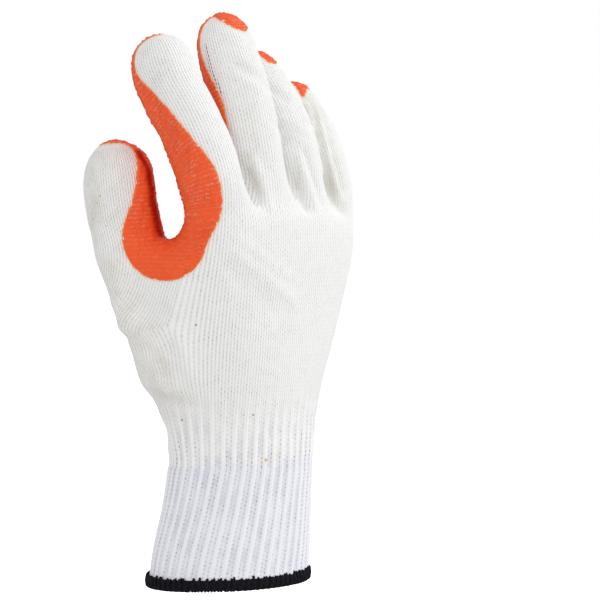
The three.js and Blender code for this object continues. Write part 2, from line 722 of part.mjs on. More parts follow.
// Bound edge: a band of U section that grips the lower edge of the cuff.
function hemBand() {
  const wall = ribDepth + cuffWall;
  const profile = [
    { grow: pieceGap, z: hemHeight },
    { grow: pieceGap + hemSkin * 0.75, z: hemHeight - 0.1 },
    { grow: pieceGap + hemSkin, z: hemHeight * 0.55 },
    { grow: pieceGap + hemSkin * 0.7, z: 0.5 },
    { grow: -wall / 2, z: 0 },
    { grow: -wall - pieceGap - hemSkin * 0.7, z: 0.5 },
    { grow: -wall - pieceGap - hemSkin, z: hemHeight * 0.55 },
    { grow: -wall - pieceGap - hemSkin * 0.75, z: hemHeight - 0.1 },
    { grow: -wall - pieceGap, z: hemHeight },
    { grow: -wall - pieceGap, z: 1.6 - pieceGap },
    { grow: pieceGap, z: 1.6 - pieceGap },
  ];
  const vertices = [];
  const triangles = [];
  for (let i = 0; i < hemSteps; i += 1) {
    for (const { grow, z } of profile) vertices.push(cuffPoint(z, (i / hemSteps) * tau, grow));
  }
  const n = profile.length;
  for (let i = 0; i < hemSteps; i += 1) {
    const j = (i + 1) % hemSteps;
    for (let k = 0; k < n; k += 1) {
      const l = (k + 1) % n;
      const a = i * n + k;
      const b = j * n + k;
      const c = j * n + l;
      const d = i * n + l;
      triangles.push([a, d, c], [a, c, b]);
    }
  }
  return meshFrom('overlock_hem', vertices, triangles, 0x17171a, 0.85);
}

const glove = new THREE.Group();
glove.name = 'coated_glove';
glove.add(knitHand(), knitCuff(), latexCoat(), hemBand());
export default glove;
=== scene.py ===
import math

import bpy
import numpy as np
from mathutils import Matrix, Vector, noise
from mathutils.bvhtree import BVHTree


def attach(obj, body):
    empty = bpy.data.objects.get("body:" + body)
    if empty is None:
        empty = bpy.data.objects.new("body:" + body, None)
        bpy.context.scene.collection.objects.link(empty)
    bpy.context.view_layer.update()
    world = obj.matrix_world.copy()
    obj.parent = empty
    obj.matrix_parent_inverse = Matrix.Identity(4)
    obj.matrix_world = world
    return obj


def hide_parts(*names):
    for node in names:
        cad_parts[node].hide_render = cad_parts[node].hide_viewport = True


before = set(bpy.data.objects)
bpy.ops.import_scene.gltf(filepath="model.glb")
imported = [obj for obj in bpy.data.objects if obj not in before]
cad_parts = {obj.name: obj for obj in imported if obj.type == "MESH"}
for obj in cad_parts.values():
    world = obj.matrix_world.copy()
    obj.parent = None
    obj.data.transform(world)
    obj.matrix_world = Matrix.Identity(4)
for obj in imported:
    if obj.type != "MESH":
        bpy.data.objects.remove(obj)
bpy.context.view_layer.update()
scene = bpy.context.scene
tau = math.pi * 2
drawnScale = 0.00103
millimetre = 0.001
print("frame loaded")

# helpers for objects and node trees


def placeObject(name, data):
    made = bpy.data.objects.new(name, data)
    scene.collection.objects.link(made)
    return made


def mathNode(tree, operation, *values):
    node = tree.nodes.new("ShaderNodeMath")
    node.operation = operation
    for socket, value in zip(node.inputs, values):
        if isinstance(value, (int, float)):
            socket.default_value = value
        else:
            tree.links.new(value, socket)
    return node.outputs[0]


def product(tree, *values):
    result = values[0]
    for value in values[1:]:
        result = mathNode(tree, "MULTIPLY", result, value)
    return result


def cosineWave(tree, phase, half=0.5):
    # 1 at whole turns of the phase and 0 between them, or the reverse with a negative half.
    turned = mathNode(tree, "COSINE", product(tree, phase, tau))
    return mathNode(tree, "MULTIPLY_ADD", turned, half, 0.5)


def vectorNode(tree, operation, vector, other=None):
    # An operation on a vector socket; the other value is a constant, or a socket for SCALE.
    node = tree.nodes.new("ShaderNodeVectorMath")
    node.operation = operation
    tree.links.new(vector, node.inputs[0])
    if operation == "SCALE":
        tree.links.new(other, node.inputs["Scale"])
    elif other is not None:
        node.inputs[1].default_value = other
    return node.outputs["Value" if operation in ("DOT_PRODUCT", "DISTANCE") else "Vector"]


def axesOf(tree, vector):
    node = tree.nodes.new("ShaderNodeSeparateXYZ")
    tree.links.new(vector, node.inputs["Vector"])
    return node.outputs


def mapRange(tree, value, fromLow, fromHigh, toLow=0.0, toHigh=1.0, blend="SMOOTHSTEP"):
    node = tree.nodes.new("ShaderNodeMapRange")
    node.interpolation_type = blend
    tree.links.new(value, node.inputs["Value"])
    numbers = (("From Min", fromLow), ("From Max", fromHigh), ("To Min", toLow), ("To Max", toHigh))
    for label, number in numbers:
        node.inputs[label].default_value = number
    return node.outputs["Result"]


# camera and light

cameraSettings = {
    "azimuth": -48.0,
    "elevation": 1.5,
    "distance": 2.266,
    "target": (0.0, 0.0, 0.1277),
    "metresPerPixel": 0.000444,
    "targetPixel": (230.0, 295.5),
    "imageSize": 600,
    "sensor": 36.0,
}


def wayOut(turn, lift):
    # Direction at degrees round from the front and degrees above the level.
    turn = math.radians(turn)
    lift = math.radians(lift)
    return Vector((math.sin(turn) * math.cos(lift), -math.cos(turn) * math.cos(lift), math.sin(lift)))


def cameraAxes():
    turn = math.radians(cameraSettings["azimuth"])
    back = wayOut(cameraSettings["azimuth"], cameraSettings["elevation"])
    right = Vector((math.cos(turn), math.sin(turn), 0.0))
    return right, back.cross(right), back


def makeCamera():
    right, up, back = cameraAxes()
    target = Vector(cameraSettings["target"])
    place = target + back * cameraSettings["distance"]
    step = cameraSettings["metresPerPixel"]
    half = cameraSettings["imageSize"] / 2
    pixelX, pixelY = cameraSettings["targetPixel"]
    aim = target + right * (half - pixelX) * step - up * (half - pixelY) * step
    data = bpy.data.cameras.new("camera")
    data.sensor_width = cameraSettings["sensor"]
    reach = (aim - place).length
    data.lens = cameraSettings["sensor"] * reach / (cameraSettings["imageSize"] * step)
    data.clip_end = 50.0
    camera = placeObject("camera", data)
    camera.location = place
    camera.rotation_mode = "QUATERNION"
    camera.rotation_quaternion = (aim - place).to_track_quat("-Z", "Y")
    scene.camera = camera


def pixelRay(pixelX, pixelY):
    # Start and direction of the line of sight through a pixel of the photograph's frame.
    camera = scene.camera
    half = cameraSettings["imageSize"] / 2
    size = cameraSettings["sensor"] / camera.data.lens / cameraSettings["imageSize"]
    way = Vector(((pixelX - half) * size, (half - pixelY) * size, -1.0))
    return camera.location.copy(), (camera.rotation_quaternion @ way).normalized()


lightSettings = {
    "worldColour": (1.0, 1.0, 1.0),
    "worldFront": (-0.29, -0.93, 0.22),
    "worldFrom": -0.8,
    "worldTo": 0.9,
    "worldBehind": 0.55,
    "worldAhead": 1.07,
    "backdropStrength": 1.0,
    "lamps": [
        {"name": "key", "turn": 48, "lift": 34, "distance": 1.6, "size": 0.9, "power": 5.5},
        {"name": "fill", "turn": -118, "lift": 15, "distance": 1.8, "size": 1.2, "power": 0.3},
    ],
    "floorTone": 0.8,
    "floorHeight": -0.03,
    "floorSize": 12.0,
}


def makeWorld():
    # Light from all round, strongest from the front, and an even backdrop for the camera alone.
    world = bpy.data.worlds.new("studio")
    scene.world = world
    world.use_nodes = True
    tree = world.node_tree
    ground = tree.nodes["Background"]
    ground.inputs["Color"].default_value = (*lightSettings["worldColour"], 1.0)
    way = tree.nodes.new("ShaderNodeTexCoord").outputs["Generated"]
    ahead = vectorNode(tree, "DOT_PRODUCT", way, lightSettings["worldFront"])
    limits = [lightSettings[name] for name in ("worldFrom", "worldTo", "worldBehind", "worldAhead")]
    tree.links.new(mapRange(tree, ahead, *limits, "LINEAR"), ground.inputs["Strength"])
    backdrop = tree.nodes.new("ShaderNodeBackground")
    backdrop.inputs["Color"].default_value = (1.0, 1.0, 1.0, 1.0)
    backdrop.inputs["Strength"].default_value = lightSettings["backdropStrength"]
    seen = tree.nodes.new("ShaderNodeLightPath")
    mixed = tree.nodes.new("ShaderNodeMixShader")
    tree.links.new(seen.outputs["Is Camera Ray"], mixed.inputs["Fac"])
    tree.links.new(ground.outputs["Background"], mixed.inputs[1])
    tree.links.new(backdrop.outputs["Background"], mixed.inputs[2])
    tree.links.new(mixed.outputs["Shader"], tree.nodes["World Output"].inputs["Surface"])


def makeLamps():
    middle = Vector(cameraSettings["target"])
    for lamp in lightSettings["lamps"]:
        way = wayOut(lamp["turn"], lamp["lift"])
        data = bpy.data.lights.new(lamp["name"], "AREA")
        data.shape = "DISK"
        data.size = lamp["size"]
        data.energy = lamp["power"]
        light = placeObject(lamp["name"], data)
        light.location = middle + way * lamp["distance"]
        light.rotation_mode = "QUATERNION"
        light.rotation_quaternion = (-way).to_track_quat("-Z", "Y")


def makeFloor():
    half = lightSettings["floorSize"] / 2
    height = lightSettings["floorHeight"]
    corners = [(x, y, height) for x, y in ((-half, -half), (half, -half), (half, half), (-half, half))]
    mesh = bpy.data.meshes.new("floor")
    mesh.from_pydata(corners, [], [(0, 1, 2, 3)])
    floor = placeObject("floor", mesh)
    material = bpy.data.materials.new("pale floor")
    material.use_nodes = True
    tree = material.node_tree
    shader = tree.nodes["Principled BSDF"]
    shader.inputs["Base Color"].default_value = (*[lightSettings["floorTone"]] * 3, 1.0)
    shader.inputs["Roughness"].default_value = 1.0
    shader.inputs["Emission Color"].default_value = (1.0, 1.0, 1.0, 1.0)
    seen = tree.nodes.new("ShaderNodeLightPath")
    tree.links.new(seen.outputs["Is Camera Ray"], shader.inputs["Emission Strength"])
    mesh.materials.append(material)


makeCamera()
makeWorld()
makeLamps()
makeFloor()
scene.view_settings.view_transform = "Standard"
print("camera and light set")

# helpers for shapes


def curveValue(table, column, level):
    # Smooth curve through one column of a table, read at a level.
    levels = table["z"]
    values = table[column]
    last = len(levels) - 1
    if level <= levels[0]:
        return values[0]
    if level >= levels[last]:
        return values[last]
    i = 0
    while levels[i + 1] < level:
        i += 1
    before = max(i - 1, 0)
    after = min(i + 2, last)
    step = levels[i + 1] - levels[i]
    slopeB = (values[i + 1] - values[before]) / (levels[i + 1] - levels[before])
    slopeC = (values[after] - values[i]) / (levels[after] - levels[i])
    t = (level - levels[i]) / step
    t2 = t * t
    t3 = t2 * t
    return ((2 * t3 - 3 * t2 + 1) * values[i] + (t3 - 2 * t2 + t) * step * slopeB
            + (-2 * t3 + 3 * t2) * values[i + 1] + (t3 - t2) * step * slopeC)


def tableOf(columns, rows):
    return {name: [row[i] for row in rows] for i, name in enumerate(columns.split())}


def pointAt(line, level):
    return Vector((curveValue(line, "x", level), curveValue(line, "y", level), level))


def smoothStep(low, high, value):
    t = np.clip((np.asarray(value, float) - low) / (high - low), 0, 1)
    return t * t * (3 - 2 * t)


def evenRing(wide, thick, power, shares):
    # Points of a rounded outline at shares of its length, from the middle of the back.
    angles = np.linspace(0, tau, 361) - tau / 4
    c = np.cos(angles)
    s = np.sin(angles)
    x = wide * np.sign(c) * np.abs(c) ** (2 / power)
    y = thick * np.sign(s) * np.abs(s) ** (2 / power)
    lengths = np.concatenate([[0], np.cumsum(np.hypot(np.diff(x), np.diff(y)))])
    wanted = (np.asarray(shares, float) % 1) * lengths[-1]
    return np.interp(wanted, lengths, x), np.interp(wanted, lengths, y)


def meshObject(name, points, faces, cornerUv=None, fields=None):
    mesh = bpy.data.meshes.new(name)
    mesh.from_pydata([tuple(p) for p in points], [], [tuple(int(i) for i in f) for f in faces])
    if cornerUv is not None:
        layer = mesh.uv_layers.new(name="knitUv")
        layer.data.foreach_set("uv", np.asarray(cornerUv, np.float32).ravel())
    for field, values in (fields or {}).items():
        attribute = mesh.attributes.new(field, "FLOAT", "POINT")
        attribute.data.foreach_set("value", np.asarray(values, np.float32))
    mesh.validate()
    return placeObject(name, mesh)


def frozenMesh(source, name):
    # The mesh of an object with its modifiers worked in.
    bpy.context.view_layer.update()
    graph = bpy.context.evaluated_depsgraph_get()
    mesh = bpy.data.meshes.new_from_object(
        source.evaluated_get(graph), preserve_all_data_layers=True, depsgraph=graph)
    mesh.name = name
    return mesh


def pointsOf(mesh):
    places = np.zeros(len(mesh.vertices) * 3, np.float32)
    mesh.vertices.foreach_get("co", places)
    return places.reshape(-1, 3).astype(float)


def normalsOf(mesh):
    normals = np.zeros(len(mesh.vertices) * 3, np.float32)
    mesh.vertex_normals.foreach_get("vector", normals)
    return normals.reshape(-1, 3).astype(float)


def fieldOf(mesh, name):
    values = np.zeros(len(mesh.vertices), np.float32)
    mesh.attributes[name].data.foreach_get("value", values)
    return values.astype(float)


def setPoints(mesh, places):
    mesh.vertices.foreach_set("co", np.asarray(places, np.float32).ravel())
    mesh.update()


def setField(mesh, name, values):
    attribute = mesh.attributes.get(name) or mesh.attributes.new(name, "FLOAT", "POINT")
    attribute.data.foreach_set("value", np.asarray(values, np.float32))


def loopUv(mesh):
    uv = np.zeros(len(mesh.loops) * 2, np.float32)
    mesh.uv_layers["knitUv"].data.foreach_get("uv", uv)
    return uv.reshape(-1, 2).astype(float)


def edgesOf(mesh):
    edges = np.zeros(len(mesh.edges) * 2, np.int32)
    mesh.edges.foreach_get("vertices", edges)
    return edges.reshape(-1, 2)


def sightOf(mesh, places):
    # Finds where a line of sight meets the mesh, with its vertices at these places.
    return BVHTree.FromPolygons([Vector(p) for p in places], [tuple(p.vertices) for p in mesh.polygons])


def neighbourMean(values, edges):
    total = np.zeros_like(values)
    number = np.zeros(len(values))
    np.add.at(total, edges[:, 0], values[edges[:, 1]])
    np.add.at(total, edges[:, 1], values[edges[:, 0]])
    np.add.at(number, edges[:, 0], 1)
    np.add.at(number, edges[:, 1], 1)
    return total / number.reshape((-1,) + (1,) * (values.ndim - 1))


# the hand's own form, as the solids have it

handForm = {
    "backCols": 4,
    "sideCols": 3,
    "fingerRows": 7,
    "thumbRows": 6,
    "relaxRounds": 5,
    "rowHeights": [51, 59, 67, 74, 80.5, 87, 95, 101, 108, 118, 129, 141, 152.5, 156.5],
    "rootLevel": 160,
    "rootFrom": 101,
    "rootHeights": [158, 160, 161.5, 162.5, 163, 162.5, 160.5, 157.5, 152],
    "webHeights": [161.5, 164, 158.5],
    "thumbHole": {"turn": 227.4, "columns": 5, "row": 8, "rows": 4},
    "thumbTurn": 225,
    "wall": 1.7,
    "palmWales": 84,
    "fingerWales": 31,
    "thumbWales": 40,
    "course": 1.85,
    "waleWidth": 2.85,
    "subdivision": 3,
    "tubeSwell": 0.42,
    "padTurn": 241,
    "padSpread": 38,
    "padWay": (-0.62, 0.78),
    "topEase": (0.5, 0.35),
    "holeEase": (0.45, 0.8),
    "webEase": 0.1,
    "webBack": (2.2, -1.5),
    "webFront": (-1.6, -2.5),
    "webSpan": 0.82,
    "webCover": 24,
    "tubeStart": 10,
    "domeLatitudes": [28, 52],
    "relaxShare": 0.7,
    "tipCover": 6,
}

palmRings = tableOf("z x y wide thick power pad", [
    (51, 1, -5.2, 34, 28.4, 2.05, 0),
    (62, 1, -5.8, 34.2, 28, 2.08, 1),
    (70, 1, -6.6, 34.5, 27.4, 2.1, 4.5),
    (78, 1.2, -8, 35.2, 26.8, 2.12, 9.5),
    (86, 1.4, -9.6, 36.5, 26, 2.15, 15),
    (95, 1.7, -11.6, 38.6, 24.8, 2.18, 19),
    (104, 2, -13.6, 41, 23.4, 2.2, 20.5),
    (122, 2.6, -17, 45, 21, 2.25, 14.5),
    (140, 3, -20, 48, 19.6, 2.3, 6),
    (156, 3, -21.5, 49, 18.6, 2.35, 1),
    (170, 3, -21.5, 49, 18, 2.4, 0),
])

# Main folds: degrees round from the middle of the back and height of both ends, half width, rise.
mainFolds = [
    (246, 94, 252, 98, 6.5, -2.4),
    (236, 85.5, 258, 86.5, 4.2, 1.5),
    (230, 79, 276, 76, 3.6, -1.5),
    (265, 106, 273, 90, 4, 1.6),
    (226, 109, 236, 106, 3.5, -0.8),
    (301, 143, 351, 122, 4.4, 0.9),
    (288, 118, 292, 96, 5, -0.9),
]

lineColumns = "x y z wide thick"
fingers = [
    {"name": "index", "dome": 14, "line": tableOf(lineColumns, [
        (-34, -23.6, 158, 11.1, 15.6), (-34.3, -18.4, 178, 11.7, 15.3), (-34, -6.1, 200, 11.9, 14.9),
        (-34.3, 3, 212, 12, 14.8), (-34.6, 7.3, 222, 12, 14.7)])},
    {"name": "middle", "dome": 17, "line": tableOf(lineColumns, [
        (-8.3, -22.6, 163, 10.5, 15.6), (-8.4, -20, 184, 11.2, 15.1), (-8, -14.5, 206, 11.2, 14.6),
        (-7.3, -8.5, 221, 11.1, 14), (-7, -5, 229, 11, 13.7)])},
    {"name": "ring", "dome": 15.5, "line": tableOf(lineColumns, [
        (16.6, -21.7, 162, 10, 15.4), (16.6, -20.4, 180, 10.6, 14.6), (16.4, -13.6, 199, 10.7, 14.1),
        (16.2, -5.8, 210, 10.6, 13.7), (16, -1.4, 215, 10.5, 13.4)])},
    {"name": "little", "dome": 13.5, "line": tableOf(lineColumns, [
        (40.4, -19.6, 155, 9.8, 14.8), (40.2, -18.4, 170, 10.2, 13.8), (39.4, -14.5, 185, 10.3, 13.2),
        (38.7, -10.3, 194, 10.2, 12.7), (38.1, -3.9, 203, 10.1, 12.4)])},
]
thumb = {"dome": 16.5, "line": tableOf(lineColumns, [
    (-37, 9.4, 116, 14.8, 17.5), (-39.2, 16.4, 131, 14.6, 17.3), (-41, 22.1, 146, 14.4, 16.1),
    (-42.2, 25.4, 160, 14.2, 14.8), (-42.5, 27, 170, 13.8, 14.7), (-42.5, 27.6, 174, 13.6, 14.6)])}

# Borders of the coat.
coatForm = {
    "palmBorder": tableOf("z turn", [
        (50, 113), (64, 132), (66, 151), (69, 174), (73, 193), (78, 206), (84, 215), (92, 224),
        (105, 234), (118, 245), (124, 256), (128, 269), (131.5, 280), (135.5, 283), (141, 283.5),
        (151, 283.5), (158, 290), (166, 297), (175, 301)]),
    "outerBorder": 95,
    "foot": 66,
    "perDegree": 0.64,
    "fingerBorders": [
        (tableOf("z r", [
            (158, 39), (165, 35), (172, 35), (179, 46), (186, 62), (192.7, 69), (199.6, 78),
            (206.5, 86), (210, 93), (214, 102), (217, 110), (221, 116), (226, 120)]), 104),
        (tableOf("z r", [(160, 98), (205, 92), (213, 95), (218, 106), (223, 116), (228, 122)]), 104),
        (tableOf("z r", [(160, 102), (240, 102)]), 104),
        (tableOf("z r", [(150, 102), (240, 102)]), 100),
    ],
    "thumbBorder": tableOf("z low high", [
        (110, -112, -22), (125, -115, -26), (134, -117, -25), (141, -119, -16), (148, -120, -9),
        (156, -120, 0), (164, -120, 22), (174, -120, 32), (182, -120, 44), (190, -120, 58)]),
    "crotchFoot": 129.5,
    "roundSteps": 30,
}
cuffLean = 0.16


def buildHand():
    # The outer surface of the hand as four-sided faces, with the coat's field and knit coordinates.
    form = handForm
    places, coat, ease, tube = [], [], [], []
    faces, corners = [], []
    surplus = {}
    sideCols = form["sideCols"]
    backCols = form["backCols"]
    across = backCols * 4
    columns = across * 2 + sideCols * 2
    hole = form["thumbHole"]
    holeStart = round(hole["turn"] / 360 * columns) + backCols * 2
    holeEnd = holeStart + hole["columns"]
    holeTop = hole["row"] + hole["rows"]
    lastRow = len(form["rowHeights"])
    perColumn = form["palmWales"] / columns
    waleShift = -cuffLean / tau * form["palmWales"]

    def add(point, cover, soft=0.0, isTube=0.0):
        places.append(Vector(point))
        coat.append(cover)
        ease.append(soft)
        tube.append(isTube)
        return len(places) - 1

    def addFace(indices, uvs):
        faces.append(indices)
        corners.extend(uvs)

    def palmCover(turn, z):
        right = curveValue(coatForm["palmBorder"], "turn", z)
        foot = z - coatForm["foot"] if z < coatForm["foot"] else 99
        perDegree = coatForm["perDegree"]
        return min((right - turn) * perDegree, (turn - coatForm["outerBorder"]) * perDegree, foot)

    def mainFoldShift(turn, z):
        shift = 0
        perDegree = coatForm["perDegree"]
        for turnA, zA, turnB, zB, width, rise in mainFolds:
            dx = (turnB - turnA) * perDegree
            dz = zB - zA
            px = (turn - turnA) * perDegree
            t = min(max((px * dx + (z - zA) * dz) / (dx * dx + dz * dz), 0), 1)
            away = math.hypot(px - t * dx, z - zA - t * dz)
            shift += rise * math.exp(-((away / width) ** 2))
        return shift

    def rootAt(spot):
        heights = form["rootHeights"]
        where = spot / across * (len(heights) - 1)
        i = min(int(where), len(heights) - 2)
        return heights[i] + (heights[i + 1] - heights[i]) * (where - i)

    palm = []
    courseOf = {}
    for r in range(lastRow + 1):
        row = []
        for c in range(columns):
            spot = c if c <= across else 0
            if c > across + sideCols - 1:
                spot = across * 2 + sideCols - c
            if across < c < across + sideCols:
                spot = across
            spot = min(max(spot, 0), across)
            z = form["rootLevel"] if r == lastRow else form["rowHeights"][r]
            if z > form["rootFrom"]:
                share = (rootAt(spot) - form["rootFrom"]) / (form["rootLevel"] - form["rootFrom"])
                z = form["rootFrom"] + (z - form["rootFrom"]) * share
            turn = ((c - backCols * 2) / columns * 360) % 360
            ringX, ringY = evenRing(curveValue(palmRings, "wide", z), curveValue(palmRings, "thick", z),
                                    curveValue(palmRings, "power", z), [(c - backCols * 2) / columns])
            ringX, ringY = ringX[0], ringY[0]
            pad = curveValue(palmRings, "pad", z)
            pad *= math.exp(-(((turn - form["padTurn"]) / form["padSpread"]) ** 2))
            outward = math.hypot(ringX, ringY)
            shift = mainFoldShift(turn, z)
            x = curveValue(palmRings, "x", z) + ringX + pad * form["padWay"][0] + ringX / outward * shift
            y = curveValue(palmRings, "y", z) + ringY + pad * form["padWay"][1] + ringY / outward * shift
            soft = {lastRow: form["topEase"][0], lastRow - 1: form["topEase"][1]}.get(r, 0)
            if holeStart - 1 <= c <= holeEnd + 1 and hole["row"] - 1 <= r <= holeTop + 1:
                soft = form["holeEase"][0 if r >= holeTop else 1]
            inside = holeStart < c < holeEnd and hole["row"] < r < holeTop
            if inside:
                row.append(-1)
                continue
            index = add((x, y, z), palmCover(turn + 360 if turn < 60 else turn, z), soft)
            courseOf[index] = z / form["course"]
            row.append(index)
        palm.append(row)

    def waleAt(c):
        return (c - backCols * 2) * perColumn + waleShift

    for r in range(lastRow):
        for c in range(columns):
            if holeStart <= c < holeEnd and hole["row"] <= r < holeTop:
                continue
            d = (c + 1) % columns
            quad = [palm[r][c], palm[r][d], palm[r + 1][d], palm[r + 1][c]]
            wales = [waleAt(c), waleAt(c + 1), waleAt(c + 1), waleAt(c)]
            addFace(quad, [(w, courseOf[i]) for w, i in zip(wales, quad)])

    top = palm[lastRow]

    def backAt(j):
        return top[j]

    def frontAt(j):
        return top[across + sideCols + across - j]

    webs = []
    for b in range(1, 4):
        back = places[backAt(b * backCols)]
        front = places[frontAt(b * backCols)]
        before = fingers[b - 1]["line"]
        after = fingers[b]["line"]
        middle = (before["x"][0] + before["wide"][0] + after["x"][0] - after["wide"][0]) / 2
        back.x = front.x = middle
        for point, (outward, rise) in ((back, form["webBack"]), (front, form["webFront"])):
            point.y += outward
            point.z += rise
        ease[backAt(b * backCols)] = ease[frontAt(b * backCols)] = form["webEase"]
        line = []
        for k in range(1, sideCols):
            t = k / sideCols
            point = back.lerp(front, 0.5 + (t - 0.5) * form["webSpan"])
            point.z = form["webHeights"][b - 1] + math.sin(t * math.pi)
            index = add(point, (t - 0.5) * form["webCover"])
            courseOf[index] = point.z / form["course"]
            line.append(index)
        webs.append(line)

    def makeTube(base, line, dome, rows, axes, cover, coverTip, cols, sides, softness, wales, waleStart,
                 lean):
        count = len(base)
        firstZ = line["z"][0] + form["tubeStart"]
        lastZ = line["z"][-1]
        perStep = wales / count
        endTangent = (pointAt(line, lastZ) - pointAt(line, lastZ - 3)).normalized()

        def angleOf(i):
            return -tau / 4 + (i - cols / 2) / count * tau

        def place(centre, along, a, b, angle):
            e1, e2 = axes(along)
            return centre + e1 * a * math.cos(angle) + e2 * b * math.sin(angle)

        def bandFaces(low, high, lowCourse, highCourse):
            for i in range(count):
                j = (i + 1) % count
                uLow = waleStart + i * perStep
                uHigh = uLow + perStep
                uvs = [(uLow, lowCourse[i]), (uHigh, lowCourse[j]), (uHigh, highCourse[j]),
                       (uLow, highCourse[i])]
                addFace([low[i], low[j], high[j], high[i]], uvs)

        previous = base
        previousCourse = [courseOf[i] for i in base]
        course = sum(previousCourse) / count
        lastCentre = sum((places[i] for i in base), Vector()) / count
        for k in range(1, rows + 1):
            z = firstZ + (lastZ - firstZ) * (k - 1) / (rows - 1)
            centre = pointAt(line, z)
            along = (pointAt(line, z + 1.5) - pointAt(line, z - 1.5)).normalized()
            if z > lastZ - 1.5:
                along = endTangent.copy()
            if lean:
                along = (along + lean[0] * lean[1][min(k, len(lean[1])) - 1]).normalized()
            a = curveValue(line, "wide", z)
            b = curveValue(line, "thick", z)
            soft = softness[min(k, len(softness)) - 1]
            ring = []
            for i in range(count):
                point = place(centre, along, a, b, angleOf(i))
                ring.append(add(point, cover(z, angleOf(i), point), soft, 1.0))
            course += (centre - lastCentre).length / form["course"]
            lastCentre = centre
            ringCourse = [course] * count
            bandFaces(previous, ring, previousCourse, ringCourse)
            previous, previousCourse = ring, ringCourse
        endCentre = pointAt(line, lastZ)
        a = line["wide"][-1]
        b = line["thick"][-1]
        for latitude in form["domeLatitudes"]:
            lift = math.sin(math.radians(latitude)) * dome
            shrink = math.cos(math.radians(latitude))
            centre = endCentre + endTangent * lift
            ring = []
            for i in range(count):
                point = place(centre, endTangent, a * shrink, b * shrink, angleOf(i))
                covered = max(cover(lastZ + lift, angleOf(i), point), coverTip(angleOf(i), dome - lift))
                ring.append(add(point, covered, 0, 1.0))
                surplus[ring[-1]] = dome * math.radians(latitude) - lift
            course += dome * 0.45 / form["course"]
            ringCourse = [course] * count
            bandFaces(previous, ring, previousCourse, ringCourse)
            previous, previousCourse = ring, ringCourse
        grid = [[-1] * (cols + 1) for _ in range(sides + 1)]
        n = 0
        for p in range(cols):
            grid[0][p] = previous[n + p]
        n += cols
        for q in range(sides):
            grid[q][cols] = previous[n + q]
        n += sides
        for p in range(cols, 0, -1):
            grid[sides][p] = previous[n + cols - p]
        n += cols
        for q in range(sides, 0, -1):
            grid[q][0] = previous[n + sides - q]
        for q in range(1, sides):
            for p in range(1, cols):
                u = p / cols * 2 - 1
                v = q / sides * 2 - 1
                reach = max(abs(u), abs(v))
                latitude = math.radians(90 - reach * (90 - form["domeLatitudes"][-1]))
                angle = math.atan2(v, u)
                centre = endCentre + endTangent * math.sin(latitude) * dome
                point = centre
                if reach > 1e-6:
                    point = place(centre, endTangent, a * math.cos(latitude), b * math.cos(latitude), angle)
                drop = dome - math.sin(latitude) * dome
                covered = max(form["tipCover"] if reach < 1e-6 else coverTip(angle, drop), 1)
                grid[q][p] = add(point, covered, 0, 1.0)
                surplus[grid[q][p]] = dome * latitude - dome * math.sin(latitude)
        for q in range(sides):
            for p in range(cols):
                quad = [grid[q][p], grid[q][p + 1], grid[q + 1][p + 1], grid[q + 1][p]]
                spots = [(p, q), (p + 1, q), (p + 1, q + 1), (p, q + 1)]
                addFace(quad, [(waleStart + s * perStep, course + t * dome * 0.35 / form["course"])
                               for s, t in spots])

    def fingerAxes(along):
        e1 = Vector((1, 0, 0))
        e1 = (e1 - along * e1.dot(along)).normalized()
        return e1, along.cross(e1)

    def nearZero(degrees):
        return (degrees + 180) % 360 - 180

    for f, finger in enumerate(fingers):
        base = [backAt(j) for j in range(f * backCols, (f + 1) * backCols + 1)]
        if f < 3:
            base += [webs[f][k] for k in range(sideCols - 1)]
        else:
            base += [top[across + k] for k in range(1, sideCols)]
        base += [frontAt(j) for j in range((f + 1) * backCols, f * backCols - 1, -1)]
        if f > 0:
            base += [webs[f - 1][k] for k in range(sideCols - 2, -1, -1)]
        else:
            base += [top[across * 2 + sideCols + k] for k in range(1, sideCols)]
        radius = finger["line"]["wide"][2]
        rise, outer = coatForm["fingerBorders"][f]

        def cover(z, angle, point, rise=rise, outer=outer, radius=radius):
            d = nearZero(math.degrees(angle) + 90)
            edge = curveValue(rise, "r", z) if d < 0 else outer
            return math.radians(abs(d) - edge) * radius

        def coverTip(angle, drop, first=f == 0):
            d = nearZero(math.degrees(angle) + 90)
            return (1.6 if first else 1.5 + 12 * float(smoothStep(-30, 60, d))) - drop

        makeTube(base, finger["line"], finger["dome"], form["fingerRows"], fingerAxes, cover, coverTip,
                 backCols, sideCols, [0.12, 0], form["fingerWales"], waleAt(f * backCols), None)

    opening = [palm[hole["row"]][c] for c in range(holeStart, holeEnd)]
    opening += [palm[r][holeEnd] for r in range(hole["row"], holeTop)]
    opening += [palm[holeTop][c] for c in range(holeEnd, holeStart, -1)]
    opening += [palm[r][holeStart] for r in range(holeTop, hole["row"], -1)]
    turn = math.radians(form["thumbTurn"])

    def thumbAxes(along):
        e1 = Vector((math.cos(turn), math.sin(turn), 0))
        e1 = (e1 - along * e1.dot(along)).normalized()
        return e1, along.cross(e1)

    def thumbCover(z, angle, point):
        low = curveValue(coatForm["thumbBorder"], "low", point.z)
        high = curveValue(coatForm["thumbBorder"], "high", point.z)
        away = abs(nearZero(math.degrees(angle) - (low + high) / 2))
        front = nearZero(math.degrees(angle))
        foot = point.z - coatForm["crotchFoot"] if -100 < front < 75 else 99
        return min(math.radians(away - (high - low) / 2) * thumb["line"]["wide"][0], foot)

    firstThumbFace = len(faces)
    makeTube(opening, thumb["line"], thumb["dome"], form["thumbRows"], thumbAxes, thumbCover,
             lambda angle, drop: 0.8 - drop, hole["columns"], hole["rows"], [0.9, 0.5, 0.2, 0],
             form["thumbWales"], waleAt(holeStart), (Vector((-0.62, 0.78, 0)), [1, 0.5, 0.2, 0]))

